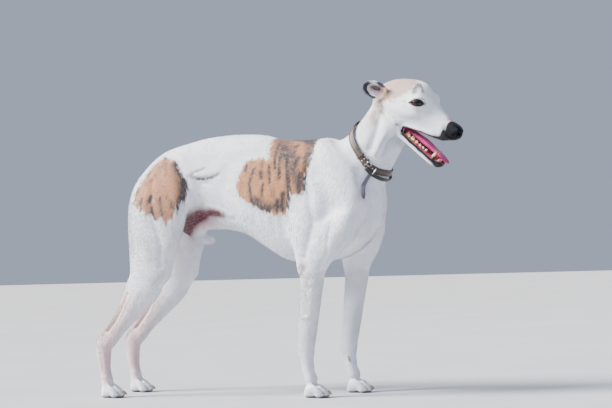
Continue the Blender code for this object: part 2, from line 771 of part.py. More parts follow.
def paw(name, x, y, height, length, width, turn):
    """Four arched toes with claws round a pad, flat below, on a stub of the pastern."""
    masses = [limb("pastern_stub", [
        (x - turn * 0.6, y, height + 0.030, 0.0178, 0.0195),
        (x - turn * 0.3, y, height, 0.0180, 0.0205),
        (x + 0.002, y, height - 0.022, 0.0190, 0.0225),
    ], steps=8, sides=16)]
    masses.append(ellipsoid("foot", (x + 0.004, y, 0.020), (0.026, width * 0.44, 0.019)))
    masses.append(ellipsoid("heel_pad", (x - 0.008, y, 0.0085), (0.015, width * 0.30, 0.0105)))
    claws = []
    for i, across in enumerate((-1.0, -0.36, 0.36, 1.0)):
        inner = abs(across) < 0.5
        reach = length * (0.62 if inner else 0.46)
        toe_y = y + across * width * 0.36
        masses.append(limb("toe", [
            (x + 0.004, y + across * width * 0.24, 0.026, 0.0095, 0.0090),
            (x + reach * 0.62, toe_y, 0.0245, 0.0100, 0.0088),
            (x + reach, toe_y + across * 0.001, 0.0130, 0.0105, 0.0085),
        ], steps=10, sides=12))
        pad = (x + reach - 0.001, toe_y, 0.0075)
        masses.append(ellipsoid("toe_pad", pad, (0.0115, 0.0085, 0.0090)))
        claws.append(limb("claw", [
            (x + reach + 0.002, toe_y, 0.0150, 0.0038, 0.0032),
            (x + reach + 0.011, toe_y + across * 0.0004, 0.0135, 0.0030, 0.0025),
            (x + reach + 0.016, toe_y + across * 0.0008, 0.0090, 0.0014, 0.0012),
        ], steps=3, sides=5))
    made = fuse(name, masses, FINE_VOXEL, PAW_TRIANGLES, lambda points: np.full(len(points), 0.4), 4)
    unite(made, claws)
    return made


def collar_frame():
    """Centre of the collar and its directions: towards the throat, across, and up the neck."""
    centre = Vector(COLLAR_CENTRE)
    turn = Matrix.Rotation(radians(COLLAR_TURN), 3, "Z")
    throat = turn @ Vector((cos(radians(COLLAR_SLOPE)), 0.0, -sin(radians(COLLAR_SLOPE))))
    across = turn @ Vector((0.0, 1.0, 0.0))
    return centre, throat, across, throat.cross(across)


def collar_axis(angle, level):
    """Where a ray to the band starts: at throat and nape the band rides higher up the neck."""
    centre, throat, across, up = collar_frame()
    out = throat * cos(angle) + across * sin(angle)
    lift = COLLAR_LIFT_THROAT if cos(angle) > 0.0 else COLLAR_LIFT_NAPE
    return centre + up * (COLLAR_WIDTH * level + lift * cos(angle) ** 6), out, up


def collar_band(neck_body):
    """A flat strap that follows the neck all round, standing a little off it."""
    tree = BVHTree.FromObject(neck_body, bpy.context.evaluated_depsgraph_get())
    count = 48
    radii = []
    for level in (-0.5, 0.5):
        reach = []
        for i in range(count):
            start, out, _ = collar_axis(2 * pi * i / count, level)
            reach.append(tree.ray_cast(start, out)[3])
        radii.append([max(reach[i - 1], reach[i], reach[(i + 1) % count]) for i in range(count)])
    body = bmesh.new()
    loops = []
    for i in range(count):
        corners = []
        for level, wall in ((0, 0.0), (1, 0.0), (1, COLLAR_THICKNESS), (0, COLLAR_THICKNESS)):
            place, out, _ = collar_axis(2 * pi * i / count, level - 0.5)
            corners.append(body.verts.new(place + out * (radii[level][i] + COLLAR_SLACK + wall)))
        loops.append(corners)
    for i in range(count):
        here, following = loops[i], loops[(i + 1) % count]
        for k in range(4):
            m = (k + 1) % 4
            body.faces.new((here[k], here[m], following[m], following[k]))
    bmesh.ops.recalc_face_normals(body, faces=body.faces)
    mesh = bpy.data.meshes.new("collar_band")
    body.to_mesh(mesh)
    body.free()
    return new_object("collar_band", mesh)


def band_point(angle, level, outward):
    """A place on the collar: the angle from the throat, the level up the band, and how far out."""
    start, out, up = collar_axis(angle, level)
    graph = bpy.context.evaluated_depsgraph_get()
    tree = BVHTree.FromObject(bpy.data.objects["collar_band"], graph)
    hit = tree.ray_cast(start + out * 0.3, -out)[0]
    return hit + out * outward, out, up


def wire(name, points, radius, sides=8):
    """A round rod through the points, closed at both ends."""
    rings = []
    points = [Vector(point) for point in points]
    for i, point in enumerate(points):
        along = (points[min(i + 1, len(points) - 1)] - points[max(i - 1, 0)]).normalized()
        turn = along.to_track_quat("X", "Z").to_matrix()
        spin = [2 * pi * k / sides for k in range(sides)]
        rings.append([point + turn @ Vector((0.0, radius * cos(a), radius * sin(a))) for a in spin])
    return closed_rings(name, rings)


def collar_ring(band):
    """A steel half ring that stands on the band's outer face, towards the near side."""
    place, out, up = band_point(radians(RING_ANGLE), -0.25, 0.0)
    turn = [pi * k / 12 for k in range(13)]
    points = [
        place + up * cos(a) * RING_RADIUS + out * (sin(a) * RING_RADIUS * 0.75 - 0.001) for a in turn
    ]
    ring = wire("collar_ring", points, RING_WIRE)
    boolean(ring, grown(band, "band_gap", GAP), "DIFFERENCE")
    return ring


def collar_loop(band, ring):
    """The lower strap, which slings under the throat from one side of the band to the other."""
    rings = []
    for step in range(25):
        part = step / 24
        sag = sin(pi * part)
        angle = radians(LOOP_START + LOOP_SWEEP * part)
        place, out, up = band_point(angle, -0.40, 0.0012 + 0.004 * sag)
        edge = place - up * (LOOP_SAG * sag)
        half = up * LOOP_WIDTH / 2
        thick = out * LOOP_THICKNESS
        rings.append([edge - half, edge + half, edge + half + thick, edge - half + thick])
    loop = closed_rings("collar_loop", rings)
    boolean(loop, grown(band, "band_gap", GAP), "DIFFERENCE")
    boolean(loop, grown(ring, "ring_gap", GAP), "DIFFERENCE")
    return loop


def strap_end(torso, neck_body):
    """The free end of the strap, which hangs down the front of the near shoulder."""
    tree = BVHTree.FromObject(torso, bpy.context.evaluated_depsgraph_get())
    upper = BVHTree.FromObject(neck_body, bpy.context.evaluated_depsgraph_get())
    look = Vector((0.37, -0.93, 0.0))
    rings = []
    for step in range(9):
        part = step / 8
        middle = Vector(STRAP_TOP).lerp(Vector(STRAP_BOTTOM), part)
        aside = Vector((0.93, 0.37, 0.0)) * STRAP_WIDTH / 2
        ring = []
        for across, wall in ((-1, 0.0), (1, 0.0), (1, STRAP_THICKNESS), (-1, STRAP_THICKNESS)):
            start = middle + aside * across + look * 0.2
            hits = [tree.ray_cast(start, -look), upper.ray_cast(start, -look)]
            depth = min(hit[3] for hit in hits if hit[0])
            ring.append(start - look * (depth - 0.0022 - wall))
        rings.append(ring)
    strap = closed_rings("collar_strap_end", rings)
    for body in (torso, neck_body):
        boolean(strap, grown(body, "skin_gap", GAP), "DIFFERENCE")
    return strap


def part_tail(body):
    region = box("tail_region", (-0.60, -0.030, 0.15), (-0.418, 0.030, 0.66))
    wide = box("tail_gap", (-0.61, -0.030 - GAP, 0.14), (-0.418 + GAP, 0.030 + GAP, 0.66 + GAP))
    return part_by_region(body, region, wide, "tail")


def leg_region(side, outline, inner, low, high, grow):
    """A prism over the leg's side view, outward of the body's inner planes."""
    view = [(x + grow * dx, z + grow * dz) for x, z, dx, dz in outline]
    region = prism("region", view, min(side * 0.30, 0), max(side * 0.30, 0))
    section = [(side * (y - grow), z) for y, z in inner]
    section += [(side * 0.25, inner[-1][1]), (side * 0.25, inner[0][1])]
    slab = prism("slab", section, low, high, axis="X")
    boolean(region, slab, "INTERSECT")
    return region


# A point and the direction of the cut between neck and torso, and of that between head and neck.
NECK_CUT = ((0.250, 0.0, 0.629), (0.712, 0.0, 0.702))
HEAD_CUT = ((0.325, 0.0, 0.737), (-0.836, 0.0, -0.549))

# The lower jaw's region in the head's own frame: from the corner of the mouth forward and down.
JAW_VIEW = [(0.108, -0.0475), (0.300, -0.0860), (0.300, -0.1600), (0.039, -0.1600)]

# Side views of the regions where a leg leaves the body: (x, z, and which way the edge grows).
HIND_VIEW = [
    (-0.66, -0.02, -1, -1),
    (-0.180, -0.02, 1, -1),
    (-0.205, 0.520, 1, 0),
    (-0.262, 0.640, 1, 1),
    (-0.350, 0.668, 0, 1),
    (-0.66, 0.600, -1, 1),
]
FORE_VIEW = [
    (0.020, -0.02, -1, -1),
    (0.360, -0.02, 1, -1),
    (0.360, 0.490, 1, 1),
    (0.215, 0.470, 0, 1),
    (0.060, 0.395, -1, 1),
]
HIND_INNER = [(0.0205, -0.03), (0.0205, 0.440), (0.046, 0.485), (0.046, 0.690)]
FORE_INNER = [(0.0400, -0.03), (0.0400, 0.520)]


def part_leg(body, side, outline, inner, name):
    low, high = (-0.70, -0.15) if outline is HIND_VIEW else (0.0, 0.40)
    region = leg_region(side, outline, inner, low, high, 0.0)
    wide = leg_region(side, outline, inner, low - GAP, high + GAP, GAP)
    return part_by_region(body, region, wide, name)


def build_body():
    """The body parted at the neck, the tail and each joint of each leg."""
    body = whole_body()
    pieces = [body]
    part_by_plane(body, NECK_CUT[0], NECK_CUT[1], "neck_offcut")
    remove(bpy.data.objects["neck_offcut"])
    pieces.append(part_tail(body))
    for name, (side, forward) in FORE.items():
        leg = part_leg(body, side, FORE_VIEW, FORE_INNER, "upper_arm_" + name)
        shin = part_by_plane(leg, (0.12 + forward, 0, 0.352), (0.15, 0, -1), "forearm_" + name)
        keep_side(shin, (0.10 + forward, 0, 0.085 + GAP / 2), (0, 0, 1))
        pieces += [leg, shin]
    for name, (side, back) in HIND.items():
        leg = part_leg(body, side, HIND_VIEW, HIND_INNER, "thigh_" + name)
        knee = (-0.36 - back, 0, 0.325)
        hock = (-0.515 - back, 0, 0.170)
        shank = part_by_plane(leg, knee, (-0.35, 0, -1), "second_thigh_" + name)
        pastern = part_by_plane(shank, hock, (-0.35, 0, -1), "rear_pastern_" + name)
        keep_side(pastern, (-0.51 - back, 0, 0.062 + GAP / 2), (0, 0, 1))
        pieces += [leg, shank, pastern]
    return pieces


def build_paws():
    paws = []
    for name, (side, forward) in FORE.items():
        made = paw("forepaw_" + name, 0.108 + forward, side * FORE_STANCE, 0.070, 0.066, 0.056, 0.020)
        keep_side(made, (0, 0, 0.085 - GAP / 2), (0, 0, -1))
        keep_side(made, (0, 0, SOLE_LEVEL), (0, 0, 1))
        paws.append(made)
    for name, (side, back) in HIND.items():
        made = paw("hindpaw_" + name, -0.512 - back, side * 0.087, 0.050, 0.064, 0.053, 0.010)
        keep_side(made, (0, 0, 0.062 - GAP / 2), (0, 0, -1))
        keep_side(made, (0, 0, SOLE_LEVEL), (0, 0, 1))
        paws.append(made)
    return paws


def jaw_region(inset):
    """Everything below the gape and in front of the corner of the mouth."""
    view = [(x + inset, z - inset) for x, z in JAW_VIEW]
    region = prism("jaw_region", view, -0.08, 0.08)
    region.data.transform(to_world())
    return region


def build_head():
    """The head, its upper neck and what sits in or on them."""
    head = whole_head()
    upper_neck = part_by_plane(head, HEAD_CUT[0], HEAD_CUT[1], "neck")
    upward = Vector(NECK_CUT[1]).normalized()
    keep_side(upper_neck, Vector(NECK_CUT[0]) + upward * GAP / 2, upward)
    eyes = cut_eyes(head)
    leather = nose()
    boolean(head, grown(leather, "nose_gap", GAP), "DIFFERENCE")
    jaw = part_by_region(head, jaw_region(GAP), jaw_region(0.0), "lower_jaw")
    tongue_body = tongue()
    unite(jaw, lower_teeth())
    boolean(jaw, grown(tongue_body, "tongue_gap", GAP * 1.5), "DIFFERENCE")
    boolean(tongue_body, grown(head, "head_gap", GAP), "DIFFERENCE")
    ears = []
    for name, side in (("right", -1), ("left", 1)):
        made = ear(side, "ear_" + name)
        boolean(made, grown(head, "head_gap", GAP), "DIFFERENCE")
        ears.append(made)
    return [head, upper_neck, jaw, tongue_body, leather, *eyes, *ears]


def build_collar():
    """The band, its half ring, the sling under the throat and the strap's free end."""
    neck_body = bpy.data.objects["neck"]
    band = collar_band(neck_body)
    ring = collar_ring(band)
    loop = collar_loop(band, ring)
    return [band, ring, loop, strap_end(bpy.data.objects["torso"], neck_body)]


def colour(pieces):
    """Gives each piece its material, with soft shading over its round forms."""
    coat = material("short_coat", COAT_WHITE, 0.7)
    looks = {
        "nose": material("nose_leather", NOSE_BLACK, 0.35),
        "tongue": material("tongue_skin", TONGUE_PINK, 0.3),
        "eye": material("eye_surface", EYE_BROWN, 0.08),
        "collar": material("strap_leather", LEATHER_BROWN, 0.55),
        "collar_ring": material("ring_steel", STEEL_GREY, 0.3, 1.0),
    }
    for piece in pieces:
        look = looks.get(piece.name, looks.get(piece.name.split("_")[0], coat))
        piece.data.materials.clear()
        piece.data.materials.append(look)
        piece.data.shade_smooth()
        piece.data.set_sharp_from_angle(angle=radians(50))


def centre_on_floor(pieces):
    """Moves every piece so that the origin is under the middle of the whole, on the floor."""
    corners = np.array([vertex.co[:] for piece in pieces for vertex in piece.data.vertices])
    low, high = corners.min(axis=0), corners.max(axis=0)
    shift = Vector((-(low[0] + high[0]) / 2, -(low[1] + high[1]) / 2, -low[2]))
    for piece in pieces:
        piece.data.transform(Matrix.Translation(shift))
    return shift


def main():
    for obj in list(bpy.data.objects):
        bpy.data.objects.remove(obj)
    pieces = build_body() + build_paws() + build_head() + build_collar()
    centre_on_floor(pieces)
    colour(pieces)


main()
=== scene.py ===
"""A standing greyhound in a leather collar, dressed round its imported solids: skin, coat, head and feet."""

from math import cos, pi, radians, sin

import bmesh
import bpy
import numpy as np
from mathutils import Matrix, Vector
from mathutils.bvhtree import BVHTree


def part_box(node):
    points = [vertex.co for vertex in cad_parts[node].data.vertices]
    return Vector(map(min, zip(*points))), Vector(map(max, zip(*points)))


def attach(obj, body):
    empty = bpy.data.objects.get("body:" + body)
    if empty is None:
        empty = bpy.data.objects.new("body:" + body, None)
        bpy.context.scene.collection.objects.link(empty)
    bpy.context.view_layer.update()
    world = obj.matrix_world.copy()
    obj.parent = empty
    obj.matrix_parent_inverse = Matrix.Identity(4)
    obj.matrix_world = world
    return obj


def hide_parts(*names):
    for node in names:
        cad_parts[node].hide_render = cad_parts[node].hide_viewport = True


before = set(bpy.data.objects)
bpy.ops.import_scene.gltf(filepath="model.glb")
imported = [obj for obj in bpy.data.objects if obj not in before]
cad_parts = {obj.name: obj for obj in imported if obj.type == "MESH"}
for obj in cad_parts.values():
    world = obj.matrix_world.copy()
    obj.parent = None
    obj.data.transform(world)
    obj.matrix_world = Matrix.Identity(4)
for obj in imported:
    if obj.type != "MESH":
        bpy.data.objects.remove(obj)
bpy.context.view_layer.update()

bl_info = {
    "name": "Standing Greyhound",
    "version": (1, 0, 0),
    "blender": (4, 5, 0),
    "location": "View3D > Sidebar > Greyhound",
    "description": "Builds the skin, coat, head, feet and collar of a standing greyhound",
    "category": "Object",
}

# The camera, in metres and degrees, and its lens on a sensor 36 mm wide.
CAMERA_PLACE = (1.9498, -4.6359, 0.4500)
CAMERA_AIM = (0.0768, 0.0001, 0.5300)
CAMERA_ROLL = -2.0
CAMERA_LENS = 105.88

# The head's own frame has the muzzle along +X. It is turned to the dog's right and dropped.
HEAD_TURN = -14.0
HEAD_DROP = 22.0
EYE_IN_HEAD = (0.1325, 0.0410, 0.0385)
EYE_AIM = (0.60, 0.78, 0.12)
EAR_IN_HEAD = (0.010, 0.0345)
EAR_WALL = 0.0037
EAR_HEIGHT = 0.025
EAR_LENGTH = 0.031

# The collar's plane, and how much higher the band rides at the throat and at the nape.
COLLAR_CENTRE = (0.2706, 0.0, 0.6652)
COLLAR_SLOPE = 56.0
COLLAR_TURN = -12.0
COLLAR_WIDTH = 0.019
COLLAR_LIFT_THROAT = 0.012
COLLAR_LIFT_NAPE = 0.019
RING_ANGLE = -34.0
RING_RADIUS = 0.0105
RING_WIRE = 0.0016
BUCKLE_ANGLE = -50.0
LOOP_WIDTH = 0.0115
LOOP_THICKNESS = 0.0028
LOOP_START = -50.0
LOOP_SWEEP = 122.0
LOOP_SAG = 0.0085
STRAP_PATH = [
    (0.2925, -0.046, 0.610), (0.2790, -0.050, 0.592), (0.2670, -0.054, 0.567), (0.2672, -0.056, 0.536),
]
STRAP_WIDTH = 0.0125
STRAP_THICKNESS = 0.0028
BAND_STEPS = 192
BAND_EDGE = 0.46
STITCH_RADIUS = 0.00042

BODY_NODES = ["torso", "tail"]
for side_name in ("right", "left"):
    BODY_NODES += [part + side_name for part in ("upper_arm_", "forearm_", "forepaw_", "thigh_")]
    BODY_NODES += [part + side_name for part in ("second_thigh_", "rear_pastern_", "hindpaw_")]
# How far the left foreleg stands before the right one, then length and width of each kind of paw.
FORE_SHIFT = 0.068
PAWS = (("fore", 0.066, 0.056), ("hind", 0.064, 0.053))
SIDES = (("right", -1), ("left", 1))

# Tables of paths and places are in millimetres.
MM = 0.001
FAR_AWAY = 9.0

# How the skins are made: growth of each solid, size of the voxels and how many triangles are kept.
SOLID_GROWTH = 0.0004
BODY_VOXEL = 0.0027
HEAD_VOXEL = 0.0017
BODY_TRIANGLES = 196000
HEAD_TRIANGLES = 190000
# Forward of this, a skin can run past the collar. What lies past it is hidden, and dropped.
NECK_START = 0.15

# How far a tuft's lift, lean, turn, length and width stray: low, high and seed.
TUFT_CHANCES = ((-1.5, -0.5, 3), (-0.15, 0.15, 4), (-0.20, 0.20, 5), (0.70, 1.25, 6), (0.75, 1.2, 7))

# The little patch of the unwrap that a tuft's four corners take round its own place.
TUFT_CELL = ((-0.0015, -0.0015), (-0.0015, 0.0015), (-0.0006, 0.0), (0.0015, 0.0))
WHOLE_CELL = (0.01, 0.99)
LOWER_CELL = (0.01, 0.49)
UPPER_CELL = (0.51, 0.99)
SCATTER_SEED = 11
SHADE_SEED = 5


def linear(code):
    """An sRGB hex colour as the linear values that Blender works in."""
    parts = [int(code[i:i + 2], 16) / 255 for i in (0, 2, 4)]
    return tuple(p / 12.92 if p <= 0.04045 else ((p + 0.055) / 1.055) ** 2.4 for p in parts) + (1.0,)


def colour_value(name, description, code):
    return bpy.props.FloatVectorProperty(
        name=name, description=description, subtype="COLOR", size=4, min=0.0, max=1.0,
        default=linear(code),
    )


def length_value(name, description, metres):
    return bpy.props.FloatProperty(
        name=name, description=description, subtype="DISTANCE", unit="LENGTH", min=0.0,
        precision=5, default=metres,
    )


class GREYHOUND_PG_coat(bpy.types.PropertyGroup):
    """Colours of the short coat, and the size of its tufts."""
    white: colour_value("White fur", "Main colour of the coat", "E9EBF0")
    fawn: colour_value("Fawn fur", "Patches on ribs, hip and skull", "A87049")
    brindle: colour_value("Brindle streaks", "Dark hairs in the fawn patches", "33292E")
    # The grey also paints shade: along the folds of flank and thigh, on the thigh's front edge, in the
    # throat, over the upper lids and in the cheek creases.
    grey: colour_value("Grey hairs", "Spots over the eye and behind the ear", "4A4A58")
    skin: colour_value("Pink skin", "Where thin hair lets the skin through", "BE7E7A")
    tan: colour_value("Tan hairs", "Stain below the ear and the ear's front fold", "93765B")
    rim: colour_value("Ear rim", "Blue-black hair on the rim of each ear", "1A1D2C")
    # Dark pink: pink skin with painted shade in the ear canals and painted shadow in the groin's crescent.
    shaded_hollow: colour_value("Bare hollows", "Dark pink skin in the ear and the groin", "431B2A")
    depth: length_value("Coat depth", "How far the skin lies inside the solids", 0.0015)
    tuft_length: length_value("Tuft length", "Length of a tuft on the trunk", 0.015)
    tuft_width: length_value("Tuft width", "Width of a tuft at its root", 0.0011)
    tufts: bpy.props.IntProperty(
        name="Tufts in a piece", description="How many tufts one piece of the coat has",
        min=100, max=49000, default=44000,
    )


class GREYHOUND_PG_head(bpy.types.PropertyGroup):
    """Colours of the eyes, nose and mouth."""
    iris: colour_value("Iris", "Dark brown of the eye", "20120C")
    nose: colour_value("Nose leather", "Wet black of the nose", "090A14")
    lip: colour_value("Lips", "Black skin along the mouth and lids", "120E13")
    gum: colour_value("Gums", "Wet pink skin round the teeth", "A03450")
    tongue: colour_value("Tongue", "Panting tongue", "B8307A")
    tooth: colour_value("Teeth", "Ivory of the teeth", "D9C38E")
    claw: colour_value("Claws", "Horn of the claws", "6B5A50")
    eye_radius: length_value("Eyeball radius", "Radius of each eyeball", 0.0162)


class GREYHOUND_PG_collar(bpy.types.PropertyGroup):
    """Sizes and colours of the leather collar."""
    leather: colour_value("Band leather", "Brown of the band's edges", "2C201C")
    pale_leather: colour_value("Worn leather", "Lighter raised middle of the band", "6B5445")
    dark: colour_value("Lower strap", "Black leather of the lower strap", "17141B")
    strap: colour_value("Hanging strap", "Grey back of the strap's free end", "3D3948")
    thread: colour_value("Thread", "Linen thread of the stitches", "8D7C66")
    steel: colour_value("Steel", "Nickel plate of ring and buckle", "C9CACC")
    thickness: length_value("Thickness", "Thickness of the band", 0.0032)
    stitch: length_value("Stitch spacing", "Distance from one stitch to the next", 0.0042)


class GREYHOUND_PG_stage(bpy.types.PropertyGroup):
    """The floor and the lights."""
    floor: colour_value("Floor", "Plain pale floor", "B9BBBF")
    air: colour_value("Surroundings", "Soft light from all round", "CBD9F2")
    key_power: bpy.props.FloatProperty(
        name="Key light", description="Strength of the high soft light", min=0.0, default=14.0
    )
    fill_power: bpy.props.FloatProperty(
        name="Fill light", description="Power of the light near the camera", unit="POWER",
        min=0.0, default=70.0,
    )


def new_mesh_object(name, mesh):
    made = bpy.data.objects.new(name, mesh)
    bpy.context.scene.collection.objects.link(made)
    return made


def object_from_bmesh(name, body):
    mesh = bpy.data.meshes.new(name)
    body.to_mesh(mesh)
    body.free()
    return new_mesh_object(name, mesh)


def remove(obj):
    mesh = obj.data
    bpy.data.objects.remove(obj)
    bpy.data.meshes.remove(mesh)


def evaluated_mesh(obj):
    """The object's mesh with its modifiers applied."""
    bpy.context.view_layer.update()
    graph = bpy.context.evaluated_depsgraph_get()
    return bpy.data.meshes.new_from_object(obj.evaluated_get(graph))


def read(items, key, width=1, kind=float):
    """One property of every item of a mesh, in rows of that width where it has several numbers."""
    values = np.empty(len(items) * width, kind)
    items.foreach_get(key, values)
    return values.reshape(-1, width) if width > 1 else values


def apply_modifiers(obj):
    made = evaluated_mesh(obj)
    old = obj.data
    obj.modifiers.clear()
    obj.data = made
    bpy.data.meshes.remove(old)


def points_of(mesh):
    return read(mesh.vertices, "co", 3)


def normals_of(mesh):
    return read(mesh.vertex_normals, "vector", 3, np.float32).astype(float)


def set_points(mesh, points):
    mesh.vertices.foreach_set("co", points.ravel())
    mesh.update()


def store(mesh, name, values):
    """Writes one value, or one vector, for each vertex as a named attribute."""
    kind = "FLOAT" if values.ndim == 1 else "FLOAT_VECTOR"
    attribute = mesh.attributes.get(name) or mesh.attributes.new(name, kind, "POINT")
    attribute.data.foreach_set("value" if kind == "FLOAT" else "vector", values.astype(np.float32).ravel())


def soft_step(values, low, high):
    """Rises smoothly from 0 at low to 1 at high."""
    part = np.clip((values - low) / (high - low), 0.0, 1.0)
    return part * part * (3 - 2 * part)


def unit_rows(*columns):
    """Directions of length one from their x, y and z."""
    rows = np.column_stack(columns)
    return rows / np.linalg.norm(rows, axis=1)[:, None]


def bell(value, middle, width):
    return np.exp(-(((value - middle) / width) ** 2))


def smooth_curve(keys, count):
    """The key rows resampled at count even steps, along a smooth cubic through every key."""
    keys = np.array(keys, float)
    last = len(keys) - 1
    slopes = np.gradient(keys, axis=0)
    rows = []
    for place in np.linspace(0.0, last, count):
        start = min(int(place), last - 1)
        t = place - start
        rows.append(
            (2 * t**3 - 3 * t**2 + 1) * keys[start]
            + (t**3 - 2 * t**2 + t) * slopes[start]
            + (-2 * t**3 + 3 * t**2) * keys[start + 1]
            + (t**3 - t**2) * slopes[start + 1]
        )
    return np.array(rows)


def bridge(body, loops):
    """Faces between each ring of corners and the next."""
    for before, after in zip(loops, loops[1:]):
        for i in range(len(before)):
            j = (i + 1) % len(before)
            body.faces.new((before[i], before[j], after[j], after[i]))


def closed_rings(name, rings):
    """A closed body through rings of points, with a point at the middle of each end."""
    body = bmesh.new()
    loops = [[body.verts.new(point) for point in ring] for ring in rings]
    bridge(body, loops)
    for loop, ring, turn in ((loops[0], rings[0], True), (loops[-1], rings[-1], False)):
        middle = body.verts.new(np.mean(ring, axis=0))
        for i, corner in enumerate(loop):
            following = loop[(i + 1) % len(loop)]
            body.faces.new((following, corner, middle) if turn else (corner, following, middle))
    bmesh.ops.recalc_face_normals(body, faces=body.faces)
    return object_from_bmesh(name, body)


def squircle(angle, power):
    """A point of a rounded square: power 2 is a circle and more is squarer."""
    return tuple(np.sign(part) * abs(part) ** (2 / power) for part in (cos(angle), sin(angle)))


def profile_loft(name, keys):
    """A body along X. Each key is (x, top, bottom, half width, height of the widest line)."""
    rings = []
    for x, top, bottom, half_width, widest in smooth_curve(np.array(keys) * MM, 72):
        ring = []
        for i in range(96):
            across, up = squircle(2 * pi * i / 96, 2.4)
            rise = (top - widest) if up > 0 else (widest - bottom)
            ring.append((x, max(half_width, 0.0008) * across, widest + max(rise, 0.0008) * up))
        rings.append(ring)
    return closed_rings(name, rings)


def flat_tube(name, frames, section):
    """A strap along a path. Each frame is a place, a direction across and one outwards."""
    return closed_rings(name, [[p + across * y + out * z for y, z in section] for p, across, out in frames])


def strap_section(width, thickness, crown=0.0, points=8):
    """A strap's cross-section with rounded edges, and its outer face raised by the crown."""
    radius = thickness * 0.45
    reach = width / 2 - radius
    section = []
    for i in range(points + 1):
        y = reach * (1 - 2 * i / points)
        section.append((y, thickness + crown * cos(pi * y / width) ** 2))
    for edge, start in ((-reach, pi / 2), (reach, -pi / 2)):
        for k in range(1, 4):
            angle = start + pi * k / 4
            section.append((edge + radius * cos(angle), thickness / 2 * (1 + sin(angle))))
        if edge < 0:
            section += [(-reach, 0.0), (reach, 0.0)]
    return section


def rod(name, points, radii, sides=12, flat=1.0):
    """A rod through the points, of one radius or one for each. flat squeezes it across."""
    points = [Vector(point) for point in points]
    radii = np.broadcast_to(radii, len(points))
    spin = [2 * pi * k / sides for k in range(sides)]
    rings = []
    for i, point in enumerate(points):
        along = (points[min(i + 1, len(points) - 1)] - points[max(i - 1, 0)]).normalized()
        turn = along.to_track_quat("X", "Z").to_matrix()
        rings.append([
            point + turn @ Vector((0.0, radii[i] * flat * cos(a), radii[i] * sin(a))) for a in spin
        ])
    return closed_rings(name, rings)


def sphere(name, segments, rings, radius=1.0, place=Matrix()):
    """A ball at the origin, moved and stretched by its place."""
    body = bmesh.new()
    bmesh.ops.create_uvsphere(body, u_segments=segments, v_segments=rings, radius=radius, matrix=place)
    return object_from_bmesh(name, body)


def join(name, pieces):
    """One object with the meshes of all the pieces, which are removed."""
    body = bmesh.new()
    for piece in pieces:
        body.from_mesh(piece.data)
        remove(piece)
    return object_from_bmesh(name, body)


def drop_vertices(mesh, gone):
    """Deletes the vertices of a mesh where gone holds."""
    body = bmesh.new()
    body.from_mesh(mesh)
    body.verts.ensure_lookup_table()
    bmesh.ops.delete(body, geom=[body.verts[i] for i in np.where(gone)[0]], context="VERTS")
    body.to_mesh(mesh)
    body.free()


def finish_piece(obj, material, slot, *nodes):
    """Gives a piece its finish, soft shading and its body, and hides the nodes that it stands for."""
    obj.data.materials.clear()
    obj.data.materials.append(material)
    obj.data.shade_smooth()
    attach(obj, "root")
    if nodes:
        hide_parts(*nodes)
    return obj


# Frames of the head and the collar.


def head_turn():
    return Matrix.Rotation(radians(HEAD_TURN), 3, "Z") @ Matrix.Rotation(radians(HEAD_DROP), 3, "Y")


def eye_centre(name):
    low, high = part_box(name)
    return (low + high) / 2

EYES = (("eye_right", -1), ("eye_left", 1))


def head_place():
    """Where the head's own frame has its origin, found from the two eyeballs."""
    middle = (eye_centre("eye_right") + eye_centre("eye_left")) / 2
    return middle - head_turn() @ Vector((EYE_IN_HEAD[0], 0.0, EYE_IN_HEAD[2]))


HEAD_PLACE = np.array(head_place())
HEAD_AXES = np.array(head_turn())


def in_head(points):
    """World points in the head's own frame."""
    return (points - HEAD_PLACE) @ HEAD_AXES


def from_head(points):
    """Places in the head's own frame as world points."""
    return np.asarray(points, float) @ HEAD_AXES.T + HEAD_PLACE


def collar_directions():
    """Directions of the collar: towards the throat, across to the left, and up the neck."""
    turn = Matrix.Rotation(radians(COLLAR_TURN), 3, "Z")
    throat = turn @ Vector((cos(radians(COLLAR_SLOPE)), 0.0, -sin(radians(COLLAR_SLOPE))))
    across = turn @ Vector((0.0, 1.0, 0.0))
    return throat, across, throat.cross(across)


def collar_lift(cosine):
    lift = np.where(np.asarray(cosine) > 0.0, COLLAR_LIFT_THROAT, COLLAR_LIFT_NAPE)
    return lift * np.asarray(cosine) ** 6


def collar_axis(angle, level):
    """Where a ray out to the band starts, and its directions outwards and up the neck."""
    throat, across, up = collar_directions()
    out = throat * cos(angle) + across * sin(angle)
    rise = COLLAR_WIDTH * level + float(collar_lift(cos(angle)))
    return Vector(COLLAR_CENTRE) + up * rise, out, up


def above_collar(points):
    """How far each point lies up the neck from the middle of the band."""
    throat, across, up = (np.array(direction) for direction in collar_directions())
    away = points - np.array(COLLAR_CENTRE)
    a, b = away @ throat, away @ across
    cosine = a / np.maximum(np.hypot(a, b), 1e-6)
    return away @ up - collar_lift(cosine)


# Strokes and dabs that model the skin and paint its markings.


def path_distance(points, path):
    """Distance from each point to a path of straight runs."""
    best = np.full(len(points), FAR_AWAY)
    for a, b in zip(path, path[1:]):
        run = b - a
        t = np.clip((points - a) @ run / (run @ run), 0.0, 1.0)
        best = np.minimum(best, np.linalg.norm(points - a - t[:, None] * run, axis=1))
    return best


def stroke(points, path, width):
    """1 on the path, falling off as a bell of that half width. Path and width are in millimetres."""
    return np.exp(-(path_distance(points, np.array(path) * MM) / (width * MM)) ** 2)


def dab(points, centre, radii):
    """1 at the centre, falling off as a bell of those half widths, all in millimetres."""
    away = (points - np.array(centre) * MM) / (np.array(radii) * MM)
    return np.exp(-(away**2).sum(axis=1))


def drawn(points, rows):
    """The sum of the rows' strokes and dabs: path or centre, width or radii, and strength."""
    total = np.zeros(len(points))
    for shape, size, strength in rows:
        total += strength * (dab if isinstance(size, tuple) else stroke)(points, shape, size)
    return total


